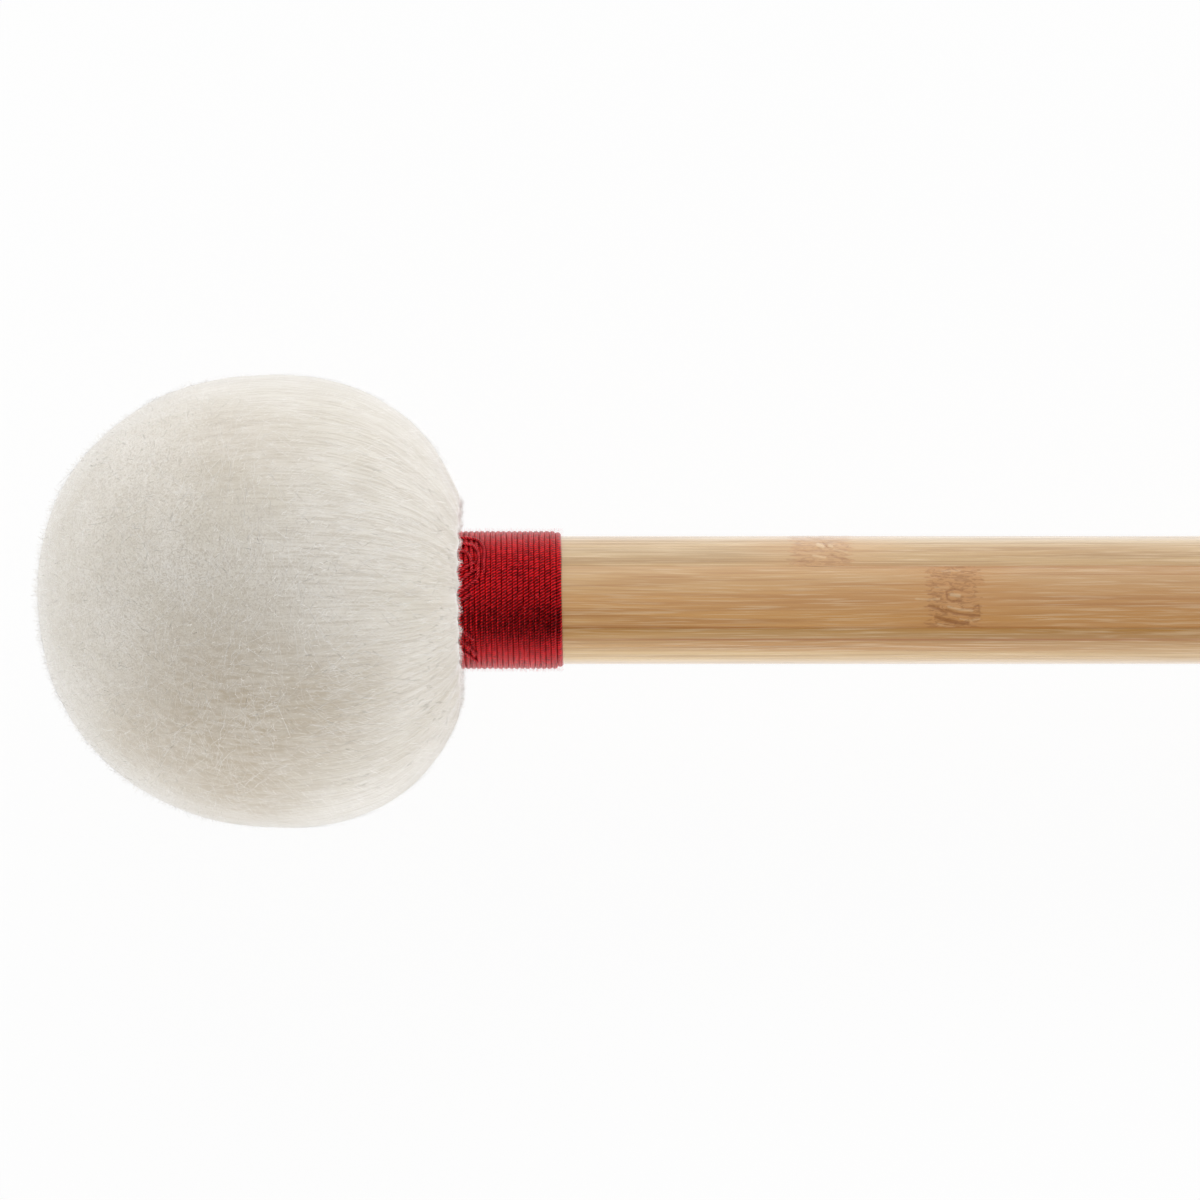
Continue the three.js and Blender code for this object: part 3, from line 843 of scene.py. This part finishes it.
def on_table(points):
    """Points of the laid-down mallet, lifted to the table where they would sink into it."""
    laid = points @ np.array(LAY.to_3x3()).T + np.array(LAY.translation)
    sunk = np.minimum(laid[..., 2], 0)
    return points - sunk[..., None] * np.array(TURNED.inverted().to_3x3() @ Vector((0, 0, 1)))


# %% The wool cover
COVER_SIDES = 384
FRONT_ROWS, BACK_ROWS, LIP_STEPS, LINING_ROWS = 84, 74, 8, 10
COVER_THICKNESS = 5 * MM
NAP = 0.45 * MM  # how far the loose fibres raise the skin
outer = head_outline(NAP, LIP_RADIUS, FRONT_ROWS, BACK_ROWS)
lip = [(MOUTH_X + (LIP_X - MOUTH_X) * math.cos(a), LIP_RADIUS - LIP_ROUND * math.sin(a))
       for a in np.linspace(0, math.pi / 2, LIP_STEPS + 1)[1:]]
lining = head_outline(COVER_THICKNESS, NECK_RADIUS, LINING_ROWS, LINING_ROWS, INNER_BACK)[::-1]
neck = [(MOUTH_X, NECK_RADIUS + 0.7 * MM), (MOUTH_X, NECK_RADIUS),
        (MOUTH_X - 1.5 * MM, NECK_RADIUS)]
OUTER_ROWS = len(outer) + len(lip)
rings = turned_rings(outer + lip + neck + lining, COVER_SIDES)
rings[:OUTER_ROWS] = moved_by_hand(rings[:OUTER_ROWS])
rings[0] = rings[0].mean(0)
rings = on_table(rings)
cover_mesh = mesh_of_rings("wool_cover", rings)
cover = piece_from("felted_cover", cover_mesh, fleece, "wool_cover")

# %% [markdown]
# ## What is inside the head
# A turned maple core carries the head, wrapped in dense felt and then in loose wool, so the head
# can be opened. The core keeps its solid and only gets its wood. The soft layers are turned again
# here, finely, at the depths of their solids.

# %% The soft layers
INNER_SIDES, INNER_ROWS = 96, 24
LAYER_GAP = 0.3 * MM
SOFT_LAYERS = {  # thickness, material, slot and the solid that each takes the place of
    "wool_padding_layer": (4.5 * MM, batting, "wool_batting", "wool_padding"),
    "core_felt_layer": (4 * MM, dense_felt, "dense_felt", "core_felt"),
}
depth = COVER_THICKNESS
for name, (thickness, material, slot, node) in SOFT_LAYERS.items():
    depth += LAYER_GAP
    outside, inside = (head_outline(d, NECK_RADIUS, INNER_ROWS, INNER_ROWS, INNER_BACK)
                       for d in (depth, depth + thickness))
    depth += thickness
    mesh = mesh_of_rings(name, turned_rings(outside + inside[::-1], INNER_SIDES))
    layer = piece_from(name, mesh, material, node)

# %% The maple core
maple, add, shader = new_material("turned_maple", Roughness=0.55, IOR=1.5)
place = straight_place(add)
grain = stretched_noise(add, place, (30 * MM, 1.2 * MM, 5 * MM), 4.0, 2.0, 0.3)
pores = stretched_noise(add, place, (3 * MM, 0.2 * MM), 6.0, 1.0)
colour = painted(add, linear("#e2cda8"), [
    (add(SMOOTH, [grain, 0.35, 0.65]), "#cdb083"),
    (add(SMOOTH, [pores, 0.6, 0.75, 0.0, 0.3]), "#b39363")])
give(shader, {"Base Color": colour})
core = frame["nodes"]["head_core"]
core.data.materials.clear()
core.data.materials.append(maple)
print("the core is", maple.name)

# %% [markdown]
# ## Thread
# The whipping is one soft three-ply thread. Up close it is a rope: three plies, twisted together,
# that look like a row of slanted beads. Each ply could be swept on its own, but a three-lobed
# section that turns steadily along the thread's route looks the same with fewer faces. Its lobes
# are shallow, and the beads show mostly by painted shade in the hollows between them.

# %% Thread tree
LOBES, LOBE_DEPTH = 3, 0.035
SECTION_POINTS = 12
thread_tree, add, given = new_tree(
    "laid_thread", Width=0.8 * MM, Lay=1.5 * MM, Step=0.15 * MM, Material=None)
even = add("GeometryNodeResampleCurve", {
    "Curve": given["Geometry"], "Length": given["Step"]}, mode="LENGTH")
run = add("GeometryNodeSplineParameter").outputs["Length"]
twist = add(TIMES, [add(OVER, [run, given["Lay"]]), 2 * math.pi])
laid = add("GeometryNodeSetCurveTilt", {"Curve": even, "Tilt": twist})
circle = add("GeometryNodeCurvePrimitiveCircle", {"Resolution": SECTION_POINTS, "Radius": 1.0})
spot = add("GeometryNodeInputPosition")
spot_x, spot_y = add("ShaderNodeSeparateXYZ", [spot]).outputs[:2]
wave = add(COSINE, [add(TIMES, [add(ANGLE, [spot_y, spot_x]), float(LOBES)])])
bulge = add(RANGE, [wave, -1.0, 1.0, 1 - 2 * LOBE_DEPTH, 1.0])
half = add(TIMES, [add(TIMES, [given["Width"], bulge]), 0.5])
scaled = add(V_SCALED, [spot, half])
crown = add(RANGE, [wave, -1.0, 1.0])
marked = add("GeometryNodeStoreNamedAttribute", {
    "Geometry": circle, "Name": "crown", "Value": crown}, data_type="FLOAT", domain="POINT")
section = add("GeometryNodeSetPosition", {"Geometry": marked, "Position": scaled})
swept = add("GeometryNodeCurveToMesh", {
    "Curve": laid, "Profile Curve": section, "Fill Caps": True})
finish_tree(add, swept, given["Material"])
print("thread tree of", len(thread_tree.nodes), "nodes")

# %% Thread material
SPUN_SIZE, FINE_SIZE = (0.5 * MM,), (0.2 * MM,)
THREAD_RELIEF = (0.3, 0.05 * MM)


def thread_material(name, body, hollow, gloss):
    """Spun yarn, painted darker in the hollows between its plies, which the crown attribute marks:
    painted shade, where the plies shade each other. The gloss of dyed yarn has the dye's colour,
    as a metal's has, so it is a metallic share. A coat stands for the loose fibres that pale its
    edges."""
    material, add, shader = new_material(
        name, Roughness=0.32, IOR=1.2, Metallic=gloss,
        Coat_Weight=1.0, Coat_Roughness=0.3, Coat_IOR=1.18)
    place = straight_place(add)
    crown = add("ShaderNodeAttribute", attribute_name="crown").outputs["Fac"]
    uneven = stretched_noise(add, place, SPUN_SIZE, 1.0)
    uneven = add(SMOOTH, [uneven, 0.3, 0.7, -0.25, 0.25])
    share = add(SMOOTH, [add(PLUS, [crown, uneven], use_clamp=True), 0.35, 0.75])
    fine = stretched_noise(add, place, FINE_SIZE, 2.0)
    colour = painted(add, linear(hollow), [(share, body)])
    finish_material(add, shader, colour, fine, *THREAD_RELIEF)
    return material


red_yarn = thread_material("spun_red_yarn", "#fb2530", "#68050b", 1.0)
paler_yarn = thread_material("rubbed_red_yarn", "#ff404b", "#860910", 1.0)
white_cotton = thread_material("white_cotton_twine", "#e9e4d8", "#d3ccbc", 0.0)
print("yarns:", red_yarn.name, paler_yarn.name, white_cotton.name)

# %% [markdown]
# ## The whipping
# Nineteen turns lie side by side. A plain helix would look machine-made, so each turn wanders a
# few hundredths of a millimetre, and the last one slips down a little. A thin sheet under the
# turns, in the yarn's darkest colour, is painted shade in the gaps between them, so no wood shows.

# %% The whipping
TURNS, PITCH = 19, 0.8 * MM
STEPS_PER_TURN = 180
THREAD_WIDTH, LAY_LENGTH, THREAD_STEP = 1.0 * MM, 1.35 * MM, 0.15 * MM
WANDER, WANDER_SPEED = 0.05 * MM, 0.7  # from turn to turn
END_SLIP, SLIP_TURNS = 0.4 * MM, 1.3  # the end slips down over so many turns
BED_HEIGHT, BED_SIDES = 0.3 * MM, 96


def wound(first_x, turns, radius, wander, slip):
    """Points of a thread wound round the shaft."""
    points = []
    for i in range(turns * STEPS_PER_TURN + 1):
        turn = i / STEPS_PER_TURN
        angle = 2 * math.pi * turn
        seed = Vector((turn * WANDER_SPEED, math.cos(angle), math.sin(angle)))
        x = first_x + PITCH * turn + wander * noise.noise(seed * 2.3)
        r = radius + 0.5 * wander * noise.noise(seed * 3.1 + Vector((9, 0, 0)))
        r -= slip * max(0.0, turn - (turns - SLIP_TURNS)) / SLIP_TURNS
        points.append((x, r * math.sin(angle), -r * math.cos(angle)))
    return np.array(points)


def thread_piece(name, lines, slot, material, node=None, **sizes):
    """A piece of thread laid along each list of points, its sizes given to the thread's tree."""
    data = bpy.data.curves.new(name + "_route", "CURVE")
    data.dimensions = "3D"
    for points in lines:
        spline = data.splines.new("POLY")
        spline.points.add(len(points) - 1)
        spline.points.foreach_set("co", np.column_stack([points, np.ones(len(points))]).ravel())
    mesh = run_tree(thread_tree, in_scene(name + "_route", data), {"Material": material, **sizes})
    return piece_from(name, mesh, node=node)


first_x = MOUTH_X + 0.1 * MM + THREAD_WIDTH / 2
points = wound(first_x, TURNS, WHIPPING_RADIUS - THREAD_WIDTH / 2, WANDER, END_SLIP)
thread_piece("thread_whipping", [points], "red_thread", red_yarn, "whipping",
             Width=THREAD_WIDTH, Lay=LAY_LENGTH, Step=THREAD_STEP)
# A sheet under the turns, in the yarn's hollow colour: painted shade in the gaps between them.
low_x, high_x = first_x, first_x + (TURNS - 0.5) * PITCH
low, high = SHAFT_RADIUS, SHAFT_RADIUS + BED_HEIGHT
gap_shade_sheet = turned_rings([(low_x, low), (low_x, high), (high_x, high), (high_x, low)], BED_SIDES)
gap_shade_mesh = mesh_of_rings("thread_bed", gap_shade_sheet, ends_on_axis=False)
piece_from("thread_bed", gap_shade_mesh, red_yarn)

# %% [markdown]
# ## The hidden tie
# Two turns of cotton twine draw the cover's mouth in. They lie in its neck, out of sight, so a
# plain helix is enough.

# %% The tie
TIE_TURNS, TIE_WIDTH = 2, 0.5 * MM
tie_x = float(straight_box("neck_tie")[0][0]) + TIE_WIDTH / 2
points = wound(tie_x, TIE_TURNS, SHAFT_RADIUS + TIE_WIDTH / 2, 0.0, 0.0)
thread_piece("cotton_neck_tie", [points], "cotton_thread", white_cotton, "neck_tie",
             Width=TIE_WIDTH, Lay=1.2 * MM, Step=THREAD_STEP)

# %% [markdown]
# ## Locking stitches
# The thread's end isn't knotted. A needle takes it back over the first turns and into the wool,
# in slanted stitches close to the head, whose yarn is a little paler than the whipping's. No rule
# gives their routes, so they are read off the photograph. Each stitch dips under at both ends, and
# goes through the same tree as the whipping.

# %% The stitches
STITCH_WIDTH, STITCH_LAY, STITCH_STEP = 0.58 * MM, 1.3 * MM, 0.12 * MM
STITCH_STEPS = 12
STITCH_SINK, STITCH_DIP = 0.04 * MM, 0.35 * MM
SIDE_LIMIT = 0.97  # the furthest that a stitch goes down the side, as a share of the radius
# Each stitch as pixels (X, Y) of the photograph, from the wool over the turns
STITCHES = [
    [(457, 539), (468, 539), (478, 541), (484, 549), (484.5, 562), (484, 576)],
    [(457, 546), (466, 545), (474, 547), (479, 555), (479, 568), (478.5, 580)],
    [(457, 553), (464, 552), (469, 555), (472, 562), (472, 574)],
    [(457, 574), (463, 571), (470, 566), (477, 563)],
    [(457, 584), (464, 580), (471, 574), (478, 570)],
    [(457, 594), (464, 591), (471, 585), (478, 580)],
    [(456, 602), (461, 601), (467, 598), (472, 594)],
    [(457, 630), (462, 631), (468, 634), (474, 639)],
    [(459, 640), (464, 642), (471, 647), (476, 654)],
    [(461, 650), (467, 653), (473, 658), (478, 662)],
]


def smooth_route(corners, steps):
    """A Catmull-Rom curve through the corners: each stretch is bent by its neighbours."""
    corners = [corners[0], *corners, corners[-1]]
    points = []
    for k in range(1, len(corners) - 2):
        a, b, c, d = (np.array(p, float) for p in corners[k - 1:k + 3])
        for t in np.arange(steps) / steps:
            square, cube = 2 * a - 5 * b + 4 * c - d, 3 * b - a - 3 * c + d
            points.append(0.5 * (2 * b + (c - a) * t + square * t ** 2 + cube * t ** 3))
    return np.array(points + [corners[-1]])


lines = []
for corners in STITCHES:
    flat = smooth_route(corners, STITCH_STEPS)
    share = np.linspace(-1, 1, len(flat))
    radius = WHIPPING_RADIUS - STITCH_SINK - STITCH_DIP * share ** 8
    x = (flat[:, 0] - FRONT_PIXEL_X) / PIXELS_PER_MM * MM
    y = (SHAFT_PIXEL_Y - flat[:, 1]) / PIXELS_PER_MM * MM
    y = np.clip(y, -SIDE_LIMIT * radius, SIDE_LIMIT * radius)
    lines.append(np.column_stack([x, y, np.sqrt(radius ** 2 - y ** 2)]))
thread_piece("locking_stitches", lines, "red_thread", paler_yarn,
             Width=STITCH_WIDTH, Lay=STITCH_LAY, Step=STITCH_STEP)

# %% [markdown]
# ## Loose fibres
# What makes wool look like wool is the fibres on its skin. Blender's hair could make them, but a
# piece has to be a plain mesh. So the tree below scatters points over a skin, grows one short
# curved fibre at each, lays it down the way the wool is combed and lets it wander. With other
# numbers it makes the halo at the rim, the tufts at the cover's mouth and the fuzz on the thread.

# %% Fibre tree: where each fibre grows and which way it points
FIBRE_POINTS, FIBRE_SIDES = 5, 3
FIBRE_FLATNESS = 0.02  # how high a pressed fibre is for its width
FIBRE_TIP = 0.35  # how thick its tip is for its root
SIZES = (0.55, 1.35)  # the smallest and the largest fibre, for the usual one
TILT_SEED, SIZE_SEED = 37.0, 91.0
fibre_tree, add, given = new_tree(
    "lying_fibres", Density=400000.0, Seed=1, Length=5 * MM, Thickness=0.03 * MM, Lift=0.03 * MM,
    Least_Rise=0.0, Rise=0.02, Spread_Front=math.pi, Spread_Back=0.25, Curl=1.6 * MM,
    Curl_Size=1.8 * MM, Size_At_Mouth=0.2, Patch_Size=6 * MM, Patchiness=0.5, Material=None)
place = add("GeometryNodeInputPosition")
per_patch = add(OVER, [1.0, given["Patch Size"]])
patch = add("ShaderNodeTexNoise", {
    "Vector": place, "W": given["Seed"], "Scale": per_patch, "Detail": 0.0}, noise_dimensions="4D")
thick = add(SMOOTH, [patch, 0.4, 0.6, 0.0, 2.0])
even = add(BLEND, [given["Patchiness"], 1.0, thick])
density = add(TIMES, [given["Density"], even])
scatter = add("GeometryNodeDistributePointsOnFaces", {
    "Mesh": given["Geometry"], "Density": density, "Seed": given["Seed"]})
normal = scatter.outputs["Normal"]
sown = add("GeometryNodeStoreNamedAttribute", {
    "Geometry": scatter, "Name": "skin_normal", "Value": normal},
    data_type="FLOAT_VECTOR", domain="POINT")
axis = add("FunctionNodeInputVector", vector=(1, 0, 0))
lost = add(V_SCALED, [normal, add(V_DOT, [axis, normal])])
combed = add(V_UNIT, [add(V_MINUS, [axis, lost])])
place_x, place_y, place_z = add("ShaderNodeSeparateXYZ", [place]).outputs
reach = add(PLUS, [place_x, add(TIMES, [add(ABSOLUTE, [place_y]), SIDE_COMBING])])
spread = add(SMOOTH, [
    reach, MATTED_TO_X, COMBED_FROM_X, given["Spread Front"], given["Spread Back"]])
chance = add("FunctionNodeRandomValue", {0: -1.0, 1: 1.0, "Seed": given["Seed"]})
lying = add("ShaderNodeVectorRotate", {
    "Vector": combed, "Axis": normal, "Angle": add(TIMES, [chance, spread])})
tilt_seed = add(PLUS, [given["Seed"], TILT_SEED])
steep = add("FunctionNodeRandomValue", {
    0: given["Least Rise"], 1: given["Rise"], "Seed": tilt_seed})
flat = add(V_SCALED, [lying, add(COSINE, [steep])])
high = add(V_SCALED, [normal, add(SINE, [steep])])
way = add(V_PLUS, [flat, high])
upright = add("FunctionNodeAlignRotationToVector", {"Vector": normal}, axis="Z")
turned = add("FunctionNodeAlignRotationToVector", {"Rotation": upright, "Vector": way}, axis="X")
print("growing places from", len(fibre_tree.nodes), "nodes")

# %% Fibre tree: the shape of one fibre
line = add("GeometryNodeCurvePrimitiveLine", {"Start": (0, 0, 0), "End": (1, 0, 0)})
fibre = add("GeometryNodeResampleCurve", {"Curve": line, "Count": FIBRE_POINTS}, mode="COUNT")
share = add("GeometryNodeSplineParameter").outputs["Factor"]
arch = add(SINE, [add(TIMES, [share, math.pi])])
lifted = add(TIMES, [arch, given["Lift"]])
run = add(TIMES, [share, given["Length"]])
fall = add(OVER, [add(POWER, [run, 2.0]), 2 * HEAD_RADIUS])
spot = add("ShaderNodeCombineXYZ", {"X": run, "Z": add(MINUS, [lifted, fall])})
bent = add("GeometryNodeSetPosition", {"Geometry": fibre, "Position": spot})
taper = add(RANGE, [share, 0.5, 1.0, 1.0, FIBRE_TIP])
thinned = add("GeometryNodeSetCurveRadius", {"Curve": bent, "Radius": taper})
standing = add("GeometryNodeSetCurveNormal", {"Curve": thinned}, mode="Z_UP")
half = add(TIMES, [given["Thickness"], 0.5])
ring = add("GeometryNodeCurvePrimitiveCircle", {"Resolution": FIBRE_SIDES, "Radius": half})
pressed = add("GeometryNodeTransform", {
    "Geometry": ring, "Scale": (FIBRE_FLATNESS, 1, 1), "Rotation": (0, 0, math.pi / 2)})
hair = add("GeometryNodeCurveToMesh", {
    "Curve": standing, "Profile Curve": pressed, "Fill Caps": True})
print("and one fibre:", len(fibre_tree.nodes), "nodes")

# %% Fibre tree: its size, its place and its curl
MOUTH_EDGE = (MOUTH_X, 10.5 * MM, 0)
SMALL_TO, FULL_FROM = 1 * MM, 16 * MM  # from the mouth
size_seed = add(PLUS, [given["Seed"], SIZE_SEED])
size = add("FunctionNodeRandomValue", {0: SIZES[0], 1: SIZES[1], "Seed": size_seed})
squares = [add(POWER, [part, 2.0]) for part in (place_y, place_z)]
distance = add(ROOT, [add(PLUS, squares)])
flat_place = add("ShaderNodeCombineXYZ", {"X": place_x, "Y": distance})
to_mouth = add(V_APART, [flat_place, MOUTH_EDGE])
near_mouth = add(RANGE, [to_mouth, SMALL_TO, FULL_FROM, given["Size At Mouth"], 1.0])
size = add(TIMES, [size, near_mouth])
grown = add("GeometryNodeInstanceOnPoints", {
    "Points": sown, "Instance": hair, "Rotation": turned, "Scale": size})
real = add("GeometryNodeRealizeInstances", [grown])
per_curl = add(OVER, [1.0, given["Curl Size"]])
field = add("ShaderNodeTexNoise", {"Vector": place, "Scale": per_curl, "Detail": 1.0})
centred = add(V_MINUS, [field.outputs["Color"], (0.5, 0.5, 0.5)])
from_core = add(V_UNIT, [add(V_MINUS, [place, (FRONT_REACH, 0, 0)])])
outward = add(V_SCALED, [from_core, add(V_DOT, [centred, from_core])])
strayed = add(V_SCALED, [add(V_MINUS, [centred, outward]), given["Curl"]])
curled = add("GeometryNodeSetPosition", {"Geometry": real, "Offset": strayed})
finish_tree(add, curled, given["Material"])
print("fibre tree of", len(fibre_tree.nodes), "nodes")

# %% [markdown]
# ## The look of a fibre
# One fibre has one colour from end to end, so the wool's pattern comes from several tones of
# fibre lying over each other, not from a noise. Wool is matt, with a sheen at its edges.

# %% Fibre finishes
def fibre_material(name, hex_colour, sheen):
    """A matt fibre of one colour."""
    return new_material(name, Base_Color=linear(hex_colour), Roughness=0.9,
                        Specular_IOR_Level=0.2, Sheen_Weight=sheen, Sheen_Roughness=0.5)[0]


pale_fibre = fibre_material("pale_wool_fibre", "#e2dfda", 0.8)
cream_fibre = fibre_material("cream_wool_fibre", "#d5cfc7", 0.8)
grey_fibre = fibre_material("grey_wool_fibre", "#beb5a9", 0.8)
# Paler than the wool's own off-white: painted light, for the light that passes through thin
# standing fibres.
white_fibre = fibre_material("white_wool_fibre", "#f6f4f1", 0.6)
# Paler than the yarn's red: painted light, for light through thin standing fibres.
pink_fibre = fibre_material("faded_red_yarn_fibre", "#e5545e", 0.1)
TONES = [pale_fibre, cream_fibre, grey_fibre, pale_fibre, cream_fibre]
print(len(set(TONES)), "tones of wool, white halo, pink fuzz")

# %% [markdown]
# ## Wool on the head
# Five pieces of lying fibre, in three tones, cover the head, and a thin halo of three stands off
# it. The fibres grow from a coarse copy of the skin. Those under the head are pressed flat.

# %% Fibres on the head
def open_skin(name, rings):
    """An open sheet through rings of points, as a place for fibres to grow on."""
    rows, sides = rings.shape[:2]
    spans = [(i * sides, (i + 1) * sides) for i in range(rows - 1)]
    return in_scene(name, mesh_from(name, rings.reshape(-1, 3), ring_faces(spans, sides)))


def fibres(name, rings, slot, lying=False, **values):
    """A piece of loose fibres grown on a skin. Light goes round so thin a fibre, so it shades
    nothing, and one that lies down has the normal of the skin, so it takes the skin's light."""
    mesh = run_tree(fibre_tree, open_skin(name + "_skin", rings), values)
    points, facing = np.empty((2, 3 * len(mesh.vertices)))
    mesh.vertices.foreach_get("co", points)
    mesh.vertices.foreach_set("co", on_table(points.reshape(-1, 3)).ravel())
    normals = mesh.attributes["skin_normal"]
    normals.data.foreach_get("vector", facing)
    mesh.attributes.remove(normals)
    piece = piece_from(name, mesh)
    if lying:
        facing = facing.reshape(-1, 3) @ np.array(LAY.to_3x3()).T
        mesh.normals_split_custom_set_from_vertices(facing)
    else:
        mesh.shade_flat()
    piece.visible_shadow = piece.visible_diffuse = False


head_skin = rings[:OUTER_ROWS:2, ::2]
for number, tone in enumerate(TONES, 1):
    fibres(f"lying_wool_{number}", head_skin, "wool_fleece", lying=True,
           Density=360000.0, Seed=number, Material=tone)
for number in (1, 2, 3):
    fibres(f"stray_wool_{number}", head_skin, "wool_fleece",
           Density=380000.0, Seed=20 + number, Length=0.9 * MM, Lift=0.05 * MM, Least_Rise=0.5,
           Rise=1.3, Curl=0.6 * MM, Curl_Size=1.2 * MM, Size_At_Mouth=0.7, Material=white_fibre)

# %% [markdown]
# ## Tufts at the mouth
# Where the cover meets the whipping, its last fibres lie over the first turns and leave a ragged
# edge. They grow from the last rows of the cover's skin, just above the lip.

# %% Tufts at the mouth
LIP_ROW = OUTER_ROWS - len(lip)
fibres("mouth_tufts", rings[LIP_ROW - 7:LIP_ROW - 1, ::2], "wool_fleece",
       Density=2e7, Seed=31, Length=0.8 * MM, Rise=0.6, Spread_Back=0.7, Curl=0.3 * MM,
       Curl_Size=0.8 * MM, Size_At_Mouth=1.0, Patch_Size=1.2 * MM, Patchiness=0.6,
       Material=pale_fibre)

# %% [markdown]
# ## Fuzz on the thread
# The yarn is spun from short fibres, and some stand out of it. Against the white background
# they make the pink edge that the photograph shows. Their pink is paler than the yarn's red, as
# painted light passing through so thin a fibre.

# %% Fuzz on the thread
FUZZ_RADIUS = WHIPPING_RADIUS - 0.02 * MM  # its roots are in the yarn
band = [(MOUTH_X + 0.4 * MM, FUZZ_RADIUS), (float(winding_high[0]), FUZZ_RADIUS)]
fibres("thread_fuzz", turned_rings(band, BED_SIDES), "red_thread",
       Density=6e6, Seed=41, Length=0.4 * MM, Thickness=0.04 * MM, Lift=0.0, Least_Rise=1.25,
       Rise=1.57, Spread_Back=math.pi, Curl=0.3 * MM, Curl_Size=0.5 * MM, Size_At_Mouth=1.0,
       Material=pink_fibre)

# %% [markdown]
# ## Size
# The dressed mallet has to stay the size of the solid model, give or take the nap of the wool.
# Its bounds are printed here.

# %% Size
low, high = [list(corner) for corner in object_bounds()]
print("dressed mallet from", low, "to", high)
